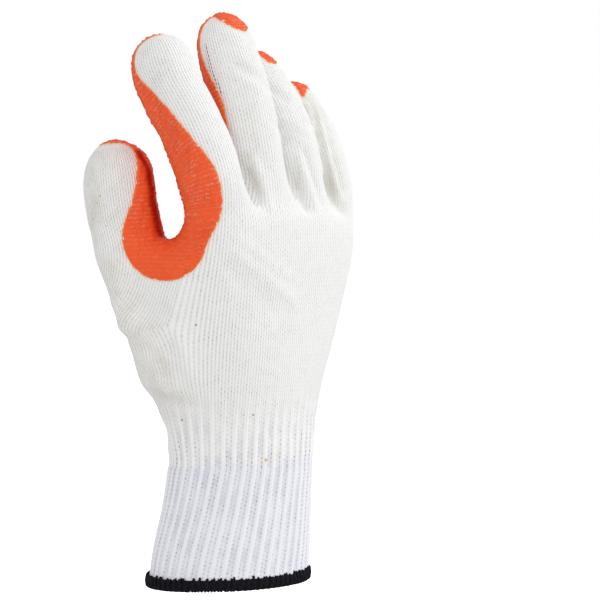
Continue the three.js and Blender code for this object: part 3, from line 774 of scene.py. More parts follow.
    near = [set() for _ in places]
    for face in faces:
        for i in range(4):
            near[face[i]].add(face[(i + 1) % 4])
            near[face[(i + 1) % 4]].add(face[i])
    for _ in range(form["relaxRounds"]):
        moved = []
        for i, point in enumerate(places):
            if ease[i] == 0:
                moved.append(point.copy())
                continue
            mean = sum((places[j] for j in near[i]), Vector()) / len(near[i])
            moved.append(point.lerp(mean, ease[i] * form["relaxShare"]))
        places = moved

    # The thumb's wales run on from those of the palm below the crotch, and round its own axis above it.
    flat = Vector((0.3, -0.954, 0))
    seam = [places[palm[r][holeEnd]] for r in range(hole["row"], holeTop + 1)]
    edge = sorted((point.z, point.dot(flat)) for point in seam)
    perStep = form["thumbWales"] / len(opening)

    def frontWale(point):
        border = np.interp(point.z, [e[0] for e in edge], [e[1] for e in edge])
        return waleAt(holeEnd) + (point.dot(flat) - border) / form["waleWidth"]

    firstCorner = firstThumbFace * 4
    moves = []
    for n, i in enumerate(i for face in faces[firstThumbFace:] for i in face):
        u = corners[firstCorner + n][0]
        step = (u - waleAt(holeStart)) / perStep
        if 1 <= step <= 4 and 140 < places[i].z < 152:
            moves.append(frontWale(places[i]) - u)
    offset = sum(moves) / len(moves)
    for n, i in enumerate(i for face in faces[firstThumbFace:] for i in face):
        u = corners[firstCorner + n][0]
        step = (u - waleAt(holeStart)) / perStep
        point = places[i]
        low = float(smoothStep(108, 122, point.z)) if step < 5.5 else 1.0
        high = float(smoothStep(136, 152, point.z))
        own = u + (frontWale(point) - u) * low
        course = (point.z + surplus.get(i, 0)) / form["course"]
        corners[firstCorner + n] = (own + (u + offset - own) * high, course)
    return places, faces, corners, coat, tube


handPlaces, handFaces, handCorners, handCoat, handTube = buildHand()
cage = meshObject("hand_cage", handPlaces, handFaces, handCorners, {"coat": handCoat, "tube": handTube})
smooth = cage.modifiers.new("smooth", "SUBSURF")
smooth.levels = smooth.render_levels = handForm["subdivision"]
handMesh = frozenMesh(cage, "knit_hand_cloth")
print("hand surface", len(handMesh.polygons), "faces")

# relief of the cloth

reliefSettings = {
    "ribLift": 0.45,
    "edgeSwell": 0.15,
    "ribFrom": 90.0,
    "ribTo": 60.0,
    "unevenSize": 7.0,
    "unevenRise": 0.22,
    "grainSize": 1.6,
    "grainRise": 0.05,
}

# Fine folds, by pixels of the photograph's frame for both ends, then half width and rise in mm.
fineFolds = tableOf("fromX fromY toX toY width rise", [
    (235, 252, 292, 300, 2.6, 0.7),
    (228, 268, 276, 312, 3.2, -0.5),
    (178, 336, 192, 378, 3.4, 1.3),
    (168, 350, 160, 374, 3.4, -1.3),
    (150, 386, 174, 389, 4.0, 1.1),
    (160, 399, 194, 405, 2.6, -1.2),
    (124, 322, 150, 350, 3.2, -0.7),
    (112, 300, 134, 316, 3.0, 0.5),
    (246, 172, 259, 200, 3.2, -1.9),
    (292, 180, 308, 208, 3.2, -1.9),
    (324, 178, 340, 208, 2.8, -1.6),
    (272, 122, 284, 132, 2.0, -0.5),
    (283, 118, 300, 126, 1.8, 0.5),
    (228, 44, 250, 52, 1.8, -0.35),
    (240, 84, 256, 90, 2.0, 0.3),
    (108, 200, 112, 236, 3.2, -0.4),
    (96, 176, 106, 214, 3.0, 0.35),
    (122, 306, 138, 350, 9.0, 2.6),
    (131, 324, 136, 348, 7.0, 2.8),
    (86, 166, 89, 236, 9.0, -1.3),
    (150, 388, 170, 452, 8.0, -1.6),
    (143, 374, 163, 414, 6.0, -1.0),
    (148, 98, 178, 164, 8.0, -2.7),
    (238, 18, 252, 44, 6.0, -1.0),
    (145, 165, 150, 222, 8.0, 1.9),
    (184, 196, 184, 222, 8.0, -0.5),
    (243, 178, 258, 192, 2.2, -0.9),
    (255, 160, 270, 208, 2.0, 1.1),
    (293, 187, 311, 205, 2.2, -0.9),
    (300, 160, 314, 206, 1.8, 1.1),
    (304, 150, 322, 204, 1.6, -1.0),
    (325, 187, 341, 205, 2.0, -0.9),
    (330, 166, 342, 206, 1.6, 0.9),
    (283, 142, 308, 122, 2.2, -1.5),
    (284, 150, 307, 132, 2.0, 1.1),
    (267, 87, 286, 99, 2.0, -1.1),
    (237, 66, 260, 78, 2.0, -1.0),
    (236, 76, 254, 86, 1.8, 0.35),
    (313, 108, 332, 196, 1.5, -0.65),
    (307, 104, 326, 186, 1.5, 0.6),
    (322, 112, 342, 190, 1.4, -0.6),
    (318, 112, 337, 188, 1.3, 0.55),
    (240, 240, 286, 274, 2.2, 0.5),
    (140, 290, 176, 322, 3.0, -0.35),
])


ribForm = {
    "ribs": 42,
    "depth": 1.05,
    "wall": 1.25,
    "height": 51.0,
    "perRib": 8,
    "rows": 74,
    "innerRows": 8,
    "tilt": 1.5,
    "bottom": 1.6,
    "gap": 0.02,
    "power": 2.0,
    "powerRise": 0.05,
    "sharpness": 1.4,
    "reliefFrom": 4.2,
    "reliefTo": 8.2,
    "course": 1.7,
    "meetSteps": 2016,
    "meetFrom": 0.4,
    "meetTo": 6.5,
}
cuffRings = tableOf("z x y wide thick", [
    (0, -0.5, 0.6, 37.3, 31.8), (14, 0, -0.6, 37, 31.6), (34, 0.6, -3.4, 35, 29.6),
    (51, 1, -5.2, 34, 28.4)])


def cuffPoint(share, z, grow):
    # Points of the cuff at shares of its outline from the back's middle.
    power = ribForm["power"] + ribForm["powerRise"] * max(z / ribForm["height"], 0) ** 2
    wide = curveValue(cuffRings, "wide", z) + grow
    thick = curveValue(cuffRings, "thick", z) + grow
    ringX, ringY = evenRing(wide, thick, power, share)
    angle = np.arctan2(ringY, ringX)
    lift = ribForm["tilt"] * np.cos(angle) * (1 - min(z / ribForm["height"], 1))
    x = curveValue(cuffRings, "x", z) + ringX
    y = curveValue(cuffRings, "y", z) + ringY
    return np.stack([x, y, z + lift], 1)


def ribWave(phase):
    # Height across one rib: a rounded ridge with a narrow hollow beside it.
    wave = 0.5 + 0.5 * np.cos(np.asarray(phase) * tau)
    return wave ** ribForm["sharpness"]


def meetCuff(places):
    # Brings the hand's lower edge onto the ribbed outline of the cuff's upper edge.
    shares = np.arange(ribForm["meetSteps"]) / ribForm["meetSteps"]
    top = ribForm["height"]
    outline = cuffPoint(shares, top, 0.0)[:, :2]
    ahead = np.roll(outline, -1, 0) - np.roll(outline, 1, 0)
    outward = np.stack([ahead[:, 1], -ahead[:, 0]], 1) / np.linalg.norm(ahead, axis=1)[:, None]
    outward *= np.sign((outward * (outline - outline.mean(0))).sum(1))[:, None]
    phase = shares * ribForm["ribs"] - cuffLean / tau * ribForm["ribs"]
    outline = outline + outward * ((ribWave(phase) - 1) * ribForm["depth"])[:, None]
    centre = np.array([curveValue(cuffRings, "x", top), curveValue(cuffRings, "y", top)])
    spoke = outline - centre
    angles = np.arctan2(spoke[:, 1], spoke[:, 0])
    order = np.argsort(angles)
    away = places[:, :2] - centre
    reach = np.linalg.norm(away, axis=1)
    lengths = np.linalg.norm(spoke, axis=1)
    target = np.interp(np.arctan2(away[:, 1], away[:, 0]), angles[order], lengths[order], period=tau)
    share = 1 - smoothStep(top + ribForm["meetFrom"], top + ribForm["meetTo"], places[:, 2])
    moved = reach + (target - reach) * share
    places = places.copy()
    places[:, :2] = centre + away * (moved / np.maximum(reach, 0.001))[:, None]
    return places


def shapeHand(mesh):
    # Swells the finger tubes back to size, then adds ribs, folds and an uneven surface.
    places = pointsOf(mesh)
    normals = normalsOf(mesh)
    shift = fieldOf(mesh, "tube") * handForm["tubeSwell"]
    settings = reliefSettings
    wale = np.zeros(len(places))
    corner = np.zeros(len(mesh.loops), np.int32)
    mesh.loops.foreach_get("vertex_index", corner)
    wale[corner] = loopUv(mesh)[:, 0]
    phase = wale * ribForm["ribs"] / handForm["palmWales"]
    fade = 1 - smoothStep(settings["ribTo"], settings["ribFrom"], places[:, 2])
    above = smoothStep(palmRings["z"][0], palmRings["z"][0] + 8, places[:, 2])
    shift = shift + (ribWave(phase) - 1) * ribForm["depth"] * fade
    shift = shift + settings["ribLift"] * fade * above + settings["edgeSwell"] * (1 - above)
    for i, place in enumerate(places):
        spot = Vector(place)
        shift[i] += noise.noise(spot / settings["unevenSize"]) * settings["unevenRise"] * above[i]
        shift[i] += noise.noise(spot / settings["grainSize"]) * settings["grainRise"] * above[i]
    places = meetCuff(places + normals * shift[:, None])
    sight = sightOf(mesh, [Vector(p) * drawnScale for p in places])
    lines = [surfaceLine(sight, *ends)
             for ends in zip(*(fineFolds[name] for name in ("fromX", "fromY", "toX", "toY")))]
    places = places * drawnScale
    places += normals * foldShift(places, lines)[:, None]
    setPoints(mesh, places)
    return lines


def foldShift(places, lines):
    # How far each place moves outward for the fine folds.
    shift = np.zeros(len(places))
    for line, width, rise in zip(lines, fineFolds["width"], fineFolds["rise"]):
        shift += rise * nearness(line, places, width)
    return shift * millimetre


def surfaceLine(sight, fromX, fromY, toX, toY, steps=24):
    # Points of the surface seen along a line between two pixels.
    found = []
    for t in np.linspace(0, 1, steps):
        start, way = pixelRay(fromX + (toX - fromX) * t, fromY + (toY - fromY) * t)
        hit = sight.ray_cast(start, way)[0]
        if hit is not None:
            found.append(hit)
    return found


def distanceTo(line, places):
    if not line:
        return np.full(len(places), 1e3)
    points = np.array([tuple(p) for p in line])
    best = np.full(len(places), 1e9)
    for point in points:
        best = np.minimum(best, np.linalg.norm(places - point, axis=1))
    return best


def nearness(line, places, width):
    # 1 on a line of points, falling off over its half width in mm.
    away = distanceTo(line, places) / millimetre
    return np.exp(-((away / width) ** 2))


foldLines = shapeHand(handMesh)
cloth = placeObject("knit_hand_cloth", handMesh)
handSight = sightOf(handMesh, pointsOf(handMesh))
print("folds and ribs worked in")

# the coat: its border, rounded, and the shell

coatEdges = edgesOf(handMesh)
coatField = np.clip(fieldOf(handMesh, "coat"), -12, 12)
for _ in range(coatForm["roundSteps"]):
    coatField = neighbourMean(coatField, coatEdges)
# Parts of the coat that the camera sees, in pixels: a round end, and areas to the right of their lines.
coatMarks = {
    "tipsEnd": 112.0,
    "blendSteps": 10,
    "sightSlack": 0.0022,
    "edgeStrip": 6,
    "crotch": {"x": 165.0, "y": 239.0, "radius": 42.0, "from": 236.0, "full": 246.0, "right": 228.0},
    "tips": [
        {"box": (203, 5, 248, 35), "lines": [(244, 33.5, 206, 13)]},
        {"box": (254, 44, 279, 68), "lines": [(276, 67.5, 254, 52.5)]},
        {"box": (286, 76, 310, 102), "lines": [(303, 102, 295, 87), (309, 86, 302, 103)]},
    ],
}


def pixelsOf(places):
    # Where places fall in the photograph's frame.
    camera = scene.camera
    turn = np.array(camera.rotation_quaternion.to_matrix())
    local = (places - np.array(camera.location)) @ turn
    size = cameraSettings["sensor"] / camera.data.lens / cameraSettings["imageSize"]
    half = cameraSettings["imageSize"] / 2
    return half + local[:, 0] / -local[:, 2] / size, half - local[:, 1] / -local[:, 2] / size


def markCoat(mesh, field):
    places = pointsOf(mesh)
    across, down = pixelsOf(places)
    step = cameraSettings["metresPerPixel"] * 1000
    eye = scene.camera.location
    facing = normalsOf(mesh) @ np.array(eye - Vector(cameraSettings["target"])) > 0

    def seen(i):
        way = Vector(places[i]) - eye
        hit = handSight.ray_cast(eye, way.normalized())[0]
        return hit is not None and (hit - Vector(places[i])).length < coatMarks["sightSlack"]

    mark = coatMarks["crotch"]
    share = smoothStep(mark["from"], mark["full"], down) * (across < mark["right"]) * facing
    ring = (mark["radius"] - np.hypot(across - mark["x"], down - mark["y"])) * step
    field = field * (1 - share) + np.clip(ring, -6, 6) * share
    kept = facing & (share > 0.5)
    for i in np.nonzero(facing & (down < coatMarks["tipsEnd"]))[0]:
        kept[i] = seen(i)
    for tip in coatMarks["tips"]:
        left, top, right, low = tip["box"]
        inside = (across > left) & (across < right) & (down > top) & (down < low) & facing
        away = np.full(len(places), 1e3)
        for fromX, fromY, toX, toY in tip["lines"]:
            length = math.hypot(toX - fromX, toY - fromY)
            side = ((toX - fromX) * (down - fromY) - (toY - fromY) * (across - fromX)) / length
            away = np.minimum(away, side * step)
        for i in np.nonzero(inside)[0]:
            if kept[i]:
                own = min(field[i], -0.6) if across[i] > left + coatMarks["edgeStrip"] else field[i]
                field[i] = max(away[i], own)
    # Out of the camera's sight the border runs on smoothly.
    tipPart = (down < coatMarks["tipsEnd"]) & ~kept
    for _ in range(coatMarks["blendSteps"]):
        field = np.where(tipPart, neighbourMean(field, coatEdges), field)
    return field


def mainArea(field, level, outside):
    # Keeps the largest connected area above a level; smaller ones take the outside value.
    inside = field > level
    label = np.where(inside, np.arange(len(field)), -1)
    first, second = coatEdges[:, 0], coatEdges[:, 1]
    both = inside[first] & inside[second]
    first, second = first[both], second[both]
    while True:
        low = np.minimum(label[first], label[second])
        fresh = label.copy()
        np.minimum.at(fresh, first, low)
        np.minimum.at(fresh, second, low)
        fresh[inside] = fresh[fresh[inside]]
        if (fresh == label).all():
            break
        label = fresh
    names, counts = np.unique(label[inside], return_counts=True)
    main = names[counts.argmax()]
    return np.where(inside & (label != main), outside, field)


coatShell = {
    "outside": 0.55,
    "inside": -0.35,
    "edgeDrop": 0.45,
    "edgeWidth": 1.3,
    "crinkle": 0.75,
    "crinkleSize": 1.15,
    "scallop": 0.42,
    "scallopSize": 1.3,
}
coatField = markCoat(handMesh, coatField)
for _ in range(3):
    coatField = neighbourMean(coatField, coatEdges)
clothPlaces = pointsOf(handMesh)
for i, place in enumerate(clothPlaces):
    if abs(coatField[i]) < 3:
        spot = Vector(place) / drawnScale
        coatField[i] += noise.noise(spot / coatShell["scallopSize"]) * coatShell["scallop"]
coatField = mainArea(coatField, 0.0, -2.5)
coatField = mainArea(coatField, -1.6, -4.0)
setField(handMesh, "coat", coatField)


def makeCoat(mesh, field):
    # Faces of the cloth where the field is above zero, cut along its border, as a closed shell.
    places = pointsOf(mesh)
    normals = normalsOf(mesh)
    uv = loopUv(mesh)
    points, ways, depth = [], [], []
    lookup = {}

    def corner(i):
        if i not in lookup:
            lookup[i] = len(points)
            points.append(places[i])
            ways.append(normals[i])
            depth.append(field[i])
        return lookup[i]

    def cut(i, j):
        a, b = min(i, j), max(i, j)
        if (a, b) not in lookup:
            t = min(max(field[a] / (field[a] - field[b]), 0.04), 0.96)
            lookup[(a, b)] = len(points)
            points.append(places[a] * (1 - t) + places[b] * t)
            ways.append(normals[a] * (1 - t) + normals[b] * t)
            depth.append(0.0)
        return lookup[(a, b)]

    kept, keptUv = [], []
    for polygon in mesh.polygons:
        ring = list(polygon.vertices)
        if max(field[i] for i in ring) <= 0:
            continue
        rest = [uv[k] for k in polygon.loop_indices]
        shown, shownUv = [], []
        for k, i in enumerate(ring):
            j = ring[(k + 1) % len(ring)]
            if field[i] > 0:
                shown.append(corner(i))
                shownUv.append(rest[k])
            if (field[i] > 0) != (field[j] > 0):
                shown.append(cut(i, j))
                t = field[i] / (field[i] - field[j])
                shownUv.append(rest[k] * (1 - t) + rest[(k + 1) % len(ring)] * t)
        if len(shown) >= 3:
            kept.append(shown)
            keptUv.append(shownUv)
    points = np.array(points)
    ways = np.array(ways)
    ways /= np.linalg.norm(ways, axis=1)[:, None]
    depth = np.array(depth)
    lift = coatShell["outside"] - coatShell["edgeDrop"] * np.exp(-(depth / coatShell["edgeWidth"]) ** 2 * 2)
    for i, place in enumerate(points):
        lift[i] += noise.noise(Vector(place) / drawnScale / coatShell["crinkleSize"]) * coatShell["crinkle"]
    outer = points + ways * lift[:, None] * millimetre
    inner = points + ways * coatShell["inside"] * millimetre
    count = len(points)
    faces = [tuple(f) for f in kept]
    uvs = [c for f in keptUv for c in f]
    for f, face in zip(keptUv, kept):
        faces.append(tuple(i + count for i in reversed(face)))
        uvs.extend(reversed(f))
    border = {}
    for face in kept:
        for k, i in enumerate(face):
            j = face[(k + 1) % len(face)]
            if (j, i) in border:
                del border[(j, i)]
            else:
                border[(i, j)] = True
    for i, j in border:
        faces.append((j, i, i + count, j + count))
        uvs.extend([(0, 0)] * 4)
    fields = {"depth": np.concatenate([depth, depth])}
    return meshObject("latex_coat", np.vstack([outer, inner]), faces, uvs, fields)


coat = makeCoat(handMesh, coatField)
# The thumb's inner side, deep in the gap, gets painted shade in a fuller red: lines by pixels, and half
# width in mm.
deepLines = [(139, 152, 149, 172, 2.0), (149, 172, 154, 205, 3.2), (154, 205, 160, 232, 3.6)]
coatPlaces = pointsOf(coat.data)
coatSight = sightOf(coat.data, coatPlaces)
shade = np.zeros(len(coatPlaces))
for *ends, width in deepLines:
    shade = np.maximum(shade, nearness(surfaceLine(coatSight, *ends), coatPlaces, width))
setField(coat.data, "shade", shade)
print("coat", len(coat.data.polygons), "faces")

# inner wall and rim of the hand

smooth.levels = smooth.render_levels = 1
innerMesh = frozenMesh(cage, "inner_wall")
bpy.data.objects.remove(cage)


def closeHand(mesh, inside):
    # One closed cloth: the finished outside, a plainer inside, and the rim between them at the wrist.
    places = pointsOf(mesh)
    innerPlaces = pointsOf(inside) * drawnScale
    shift = foldShift(innerPlaces, foldLines) - handForm["wall"] * drawnScale
    innerPlaces += normalsOf(inside) * shift[:, None]
    low = ribForm["height"] * drawnScale
    rimEdges = borderLoop(mesh)
    places[rimEdges, 2] = low
    innerRim = borderLoop(inside)
    for i in innerRim:
        innerPlaces[i][2] = low
    count = len(places)
    faces = [tuple(p.vertices) for p in mesh.polygons]
    uvs = list(loopUv(mesh))
    innerUv = loopUv(inside)
    for p in inside.polygons:
        faces.append(tuple(i + count for i in reversed(p.vertices)))
        uvs.extend(innerUv[k] for k in reversed(p.loop_indices))
    share = len(rimEdges) // len(innerRim)
    startPlace = innerPlaces[innerRim[0]]
    offset = min(range(len(rimEdges)), key=lambda k: np.linalg.norm(places[rimEdges[k]] - startPlace))
    rimEdges = rimEdges[offset:] + rimEdges[:offset]
    for k in range(len(innerRim)):
        a = innerRim[k] + count
        b = innerRim[(k + 1) % len(innerRim)] + count
        steps = [rimEdges[(k * share + s) % len(rimEdges)] for s in range(share + 1)]
        half = share // 2
        fan = [(a, steps[s + 1], steps[s]) for s in range(half)]
        fan.append((a, b, steps[half]))
        fan += [(b, steps[s + 1], steps[s]) for s in range(half, share)]
        faces.extend(fan)
        uvs.extend([(0, 0)] * 3 * len(fan))
    fields = {name: np.concatenate([fieldOf(mesh, name), np.full(len(innerPlaces), away)])
              for name, away in (("coat", -12.0), ("ageAndShade", 0.0), ("ladder", 0.0), ("soft", 0.0))}
    return meshObject("hand_knit", np.vstack([places, innerPlaces]), faces, uvs, fields)


def borderLoop(mesh):
    # The open edge at the wrist as one ring of vertices, counted the way the faces' edges run.
    used = {}
    for p in mesh.polygons:
        ring = list(p.vertices)
        for k, i in enumerate(ring):
            used[(i, ring[(k + 1) % len(ring)])] = True
    follow = {i: j for i, j in used if (j, i) not in used}
    start = min(follow)
    ring = [start]
    while follow[ring[-1]] != start:
        ring.append(follow[ring[-1]])
    return ring


# Marks by pixels of the photograph's frame: line, half width in mm, and strength. The age marks are partly
# yellowing from use and partly painted shade, in two dimples near the wrist and in the gathers at the finger
# roots; the ladder is a run in the knit.
markTable = {
    "ageAndShade": [(96, 165, 92, 250, 9.0, 1.0), (110, 150, 118, 240, 8.0, 0.6), (150, 52, 160, 70, 8.0, 0.5),
            (116, 280, 162, 392, 14.0, 0.9), (308, 104, 330, 186, 7.0, 1.0),
            (248, 160, 258, 188, 4.0, 1.0), (250, 110, 262, 160, 4.0, 0.4),
            (328, 188, 340, 206, 4.0, 1.0), (294, 170, 306, 205, 3.0, 0.8),
            (161, 359, 165, 368, 2.4, 1.6), (163, 393, 168, 399, 2.2, 1.4)],
    "soft": [(146, 290, 152, 356, 7.0, 0.85), (128, 300, 140, 350, 7.0, 0.4),
             (180, 282, 186, 374, 8.0, 0.55)],
    "ladder": [(206, 46, 211, 70, 1.4, 1.0), (211, 70, 222, 94, 1.4, 1.0)],
}
for fieldName, marks in markTable.items():
    strength = np.zeros(len(handMesh.vertices))
    for *ends, width, share in marks:
        near = nearness(surfaceLine(handSight, *ends), pointsOf(handMesh), width)
        strength = np.maximum(strength, share * near)
    setField(handMesh, fieldName, strength)

hand = closeHand(handMesh, innerMesh)
bpy.data.objects.remove(cloth)
print("hand closed", len(hand.data.polygons), "faces")

# the cuff: a smooth tube, and ribs that a node tree raises on it


def makeCuff():
    form = ribForm
    count = form["ribs"] * form["perRib"]
    shares = np.arange(count) / count
    top = form["height"] - form["gap"]
    levels = np.linspace(form["bottom"], top, form["rows"])
    innerLevels = np.linspace(top, form["bottom"], form["innerRows"])
    rings, phases, reliefs, uvRows = [], [], [], []
    for z in levels:
        rings.append(cuffPoint(shares, z, 0.0))
        phases.append(shares * form["ribs"] - cuffLean / tau * form["ribs"] * z / form["height"])
        reliefs.append(np.full(count, float(smoothStep(form["reliefFrom"], form["reliefTo"], z))))
        uvRows.append(z)
    for z in innerLevels:
        rings.append(cuffPoint(shares, z, -form["depth"] - form["wall"]))
        phases.append(np.zeros(count))
        reliefs.append(np.zeros(count))
        uvRows.append(z)
    rows = len(rings)
    faces, uvs = [], []
    perRib = handForm["palmWales"] / form["ribs"]
    for r in range(rows):
        s = (r + 1) % rows
        for i in range(count):
            j = (i + 1) % count
            faces.append((r * count + i, r * count + j, s * count + j, s * count + i))
            for row, k in ((r, i), (r, i + 1), (s, i + 1), (s, i)):
                wale = k / form["perRib"] * perRib
                wale -= cuffLean / tau * handForm["palmWales"] * uvRows[row] / form["height"]
                uvs.append((wale, uvRows[row] / form["course"]))
    fields = {"ribPhase": np.concatenate(phases), "ribRelief": np.concatenate(reliefs)}
    return meshObject("cuff_tube", np.vstack(rings) * drawnScale, faces, uvs, fields)


def geometryTree(name, inputs):
    # A node tree that takes and gives geometry, with further named inputs.
    tree = bpy.data.node_groups.new(name, "GeometryNodeTree")
    for label, kind in [("Geometry", "Geometry"), *inputs]:
        tree.interface.new_socket(label, in_out="INPUT", socket_type="NodeSocket" + kind)
    tree.interface.new_socket("Geometry", in_out="OUTPUT", socket_type="NodeSocketGeometry")
    return tree, tree.nodes.new("NodeGroupInput"), tree.nodes.new("NodeGroupOutput")


def closeTree(tree, geometry, material, end):
    # Ends a tree in real geometry that wears its material.
    real = tree.nodes.new("GeometryNodeRealizeInstances")
    tree.links.new(geometry, real.inputs["Geometry"])
    paint = tree.nodes.new("GeometryNodeSetMaterial")
    tree.links.new(real.outputs["Geometry"], paint.inputs["Geometry"])
    tree.links.new(material, paint.inputs["Material"])
    tree.links.new(paint.outputs["Geometry"], end.inputs["Geometry"])


def namedField(tree, name):
    node = tree.nodes.new("GeometryNodeInputNamedAttribute")
    node.data_type = "FLOAT"
    node.inputs["Name"].default_value = name
    return node.outputs["Attribute"]


def ribTree():
    # Pulls the hollows between the ribs in, level with the ground.
    tree, start, end = geometryTree("cuff ribs", [
        ("Rib Depth", "Float"), ("Ridge Sharpness", "Float"), ("Cloth", "Material")])
    wave = cosineWave(tree, namedField(tree, "ribPhase"))
    ridge = mathNode(tree, "POWER", wave, start.outputs["Ridge Sharpness"])
    hollow = mathNode(tree, "SUBTRACT", ridge, 1.0)
    depth = product(tree, hollow, start.outputs["Rib Depth"], namedField(tree, "ribRelief"))
    normal = tree.nodes.new("GeometryNodeInputNormal").outputs["Normal"]
    level = vectorNode(tree, "MULTIPLY", normal, (1.0, 1.0, 0.0))
    offset = vectorNode(tree, "SCALE", vectorNode(tree, "NORMALIZE", level), depth)
    move = tree.nodes.new("GeometryNodeSetPosition")
    tree.links.new(start.outputs["Geometry"], move.inputs["Geometry"])
    tree.links.new(offset, move.inputs["Offset"])
    closeTree(tree, move.outputs["Geometry"], start.outputs["Cloth"], end)
    return tree


def applyTree(target, tree, values, name):
    # Runs a node tree on an object and keeps the result as a plain mesh.
    modifier = target.modifiers.new(tree.name, "NODES")
    modifier.node_group = tree
    for item in tree.interface.items_tree:
        if item.in_out == "INPUT" and item.name in values:
            modifier[item.identifier] = values[item.name]
    mesh = frozenMesh(target, name)
    bpy.data.objects.remove(target)
    return placeObject(name, mesh)


# the bound edge: a band of U section, and the overlock thread that wraps it

hemForm = {
    "height": 4.9,
    "skin": 0.5,
    "low": 0.45,
    "innerHeight": 1.45,
    "steps": 220,
    "stitches": 150,
    "threadRadius": 0.6,
    "threadSides": 6,
    "slant": 0.27,
    "toothRise": 0.7,
    "unevenness": 0.45,
    "seed": 7,
}


def hemProfile(skin, top):
    # Outward distance and height round the U, from the outer edge over the bottom to the inner edge.
    wall = ribForm["depth"] + ribForm["wall"]
    low = hemForm["low"]
    outer = [(0.15, top), (skin, top - 0.5), (skin + 0.3, top * 0.55), (skin + 0.1, 1.1), (0.0, low + 0.1)]
    inner = [(-wall, low + 0.1), (-wall - skin - 0.1, 1.1), (-wall - skin - 0.3, top * 0.55),
             (-wall - skin, top - 0.5), (-wall - 0.15, top)]
    return [*outer, (-wall / 2, low - 0.1), *inner]


def makeHemBand():
    form = hemForm
    shares = np.arange(form["steps"]) / form["steps"]
    profile = hemProfile(form["skin"], form["height"])
    profile += [(-ribForm["depth"] - ribForm["wall"] - 0.1, form["innerHeight"]), (0.1, form["innerHeight"])]
    rings = [cuffPoint(shares, z, grow) for grow, z in profile]
    count = form["steps"]
    rows = len(rings)
    faces = []
    for r in range(rows):
        row = r * count
        above = (r + 1) % rows * count
        for i in range(count):
            j = (i + 1) % count
            faces.append((row + j, above + j, above + i, row + i))
    return meshObject("hem_band", np.vstack(rings) * drawnScale, faces)


def stitchMesh():
    # One thread that goes down the outside, under the edge and up the inside, in the plane of its section.
    form = hemForm
    profile = hemProfile(form["skin"] + 0.2, form["height"] + form["toothRise"])
    line = []
    for k, (grow, z) in enumerate(profile):
        t = k / (len(profile) - 1)
        line.append(Vector((grow, math.sin(t * tau) * 0.15, z)))
    points, faces = [], []
    sides = form["threadSides"]
    for k, centre in enumerate(line):
        along = (line[min(k + 1, len(line) - 1)] - line[max(k - 1, 0)]).normalized()
        e1 = along.orthogonal().normalized()
        if abs(along.y) < 0.99:
            e1 = (Vector((0, 1, 0)) - along * along.y).normalized()
        e2 = along.cross(e1)
        ends = min(k, len(line) - 1 - k)
        radius = form["threadRadius"] * (0.85, 1.0, 1.0)[min(ends, 2)]
        for s in range(sides):
            angle = s / sides * tau
            points.append(centre + e1 * math.cos(angle) * radius + e2 * math.sin(angle) * radius)
    for k in range(len(line) - 1):
        for s in range(sides):
            t = (s + 1) % sides
            faces.append((k * sides + s, k * sides + t, (k + 1) * sides + t, (k + 1) * sides + s))
    faces.append(tuple(reversed(range(sides))))
    faces.append(tuple(range((len(line) - 1) * sides, len(line) * sides)))
    return meshObject("hem_stitch", [p * drawnScale for p in points], faces)


def stitchTree(stitch):
    # One stitch at each point of the hem's line, turned to face outwards, with a small seeded unevenness.
    tree, start, end = geometryTree("overlock stitches", [
        ("Unevenness", "Float"), ("Slant", "Float"), ("Seed", "Int"), ("Thread", "Material")])
    shape = tree.nodes.new("GeometryNodeObjectInfo")
    shape.inputs["Object"].default_value = stitch
    turn = namedField(tree, "outwardTurn")
    wobble = tree.nodes.new("FunctionNodeRandomValue")
    wobble.data_type = "FLOAT"
    tree.links.new(product(tree, start.outputs["Unevenness"], -1.0), wobble.inputs[2])
    tree.links.new(start.outputs["Unevenness"], wobble.inputs[3])
    tree.links.new(start.outputs["Seed"], wobble.inputs["Seed"])
    drawn = wobble.outputs[1]
    index = tree.nodes.new("GeometryNodeInputIndex").outputs["Index"]
    other = mathNode(tree, "MODULO", index, 2.0)
    lean = product(tree, mathNode(tree, "MULTIPLY_ADD", other, 2.0, -1.0), start.outputs["Slant"])
    spin = tree.nodes.new("ShaderNodeCombineXYZ")
    tree.links.new(mathNode(tree, "MULTIPLY_ADD", drawn, 0.3, lean), spin.inputs["X"])
    tree.links.new(mathNode(tree, "ADD", turn, product(tree, drawn, 0.25)), spin.inputs["Z"])
    stretch = tree.nodes.new("ShaderNodeCombineXYZ")
    stretch.inputs["X"].default_value = 1.0
    stretch.inputs["Y"].default_value = 1.0
    tree.links.new(mathNode(tree, "MULTIPLY_ADD", drawn, 0.25, 1.0), stretch.inputs["Z"])
    place = tree.nodes.new("GeometryNodeInstanceOnPoints")
    tree.links.new(start.outputs["Geometry"], place.inputs["Points"])
    tree.links.new(shape.outputs["Geometry"], place.inputs["Instance"])
    tree.links.new(spin.outputs["Vector"], place.inputs["Rotation"])
    tree.links.new(stretch.outputs["Vector"], place.inputs["Scale"])
    closeTree(tree, place.outputs["Instances"], start.outputs["Thread"], end)
    return tree


def hemLine():
    # The points on which the stitches stand, and the way each faces.
    form = hemForm
    shares = np.arange(form["stitches"]) / form["stitches"]
    points = cuffPoint(shares, 0.0, 0.0) * drawnScale
    ahead = cuffPoint(shares + 0.001, 0.0, 0.0) * drawnScale - points
    turns = np.arctan2(ahead[:, 1], ahead[:, 0]) - tau / 4
    return meshObject("hem_line", points, [], None, {"outwardTurn": turns})


# materials


def colourOf(red, green, blue):
    # Colour as the eye's 0 to 255 values, made linear.
    values = []
    for value in (red, green, blue):
        v = value / 255
        values.append(v / 12.92 if v <= 0.04045 else ((v + 0.055) / 1.055) ** 2.4)
    return (*values, 1.0)


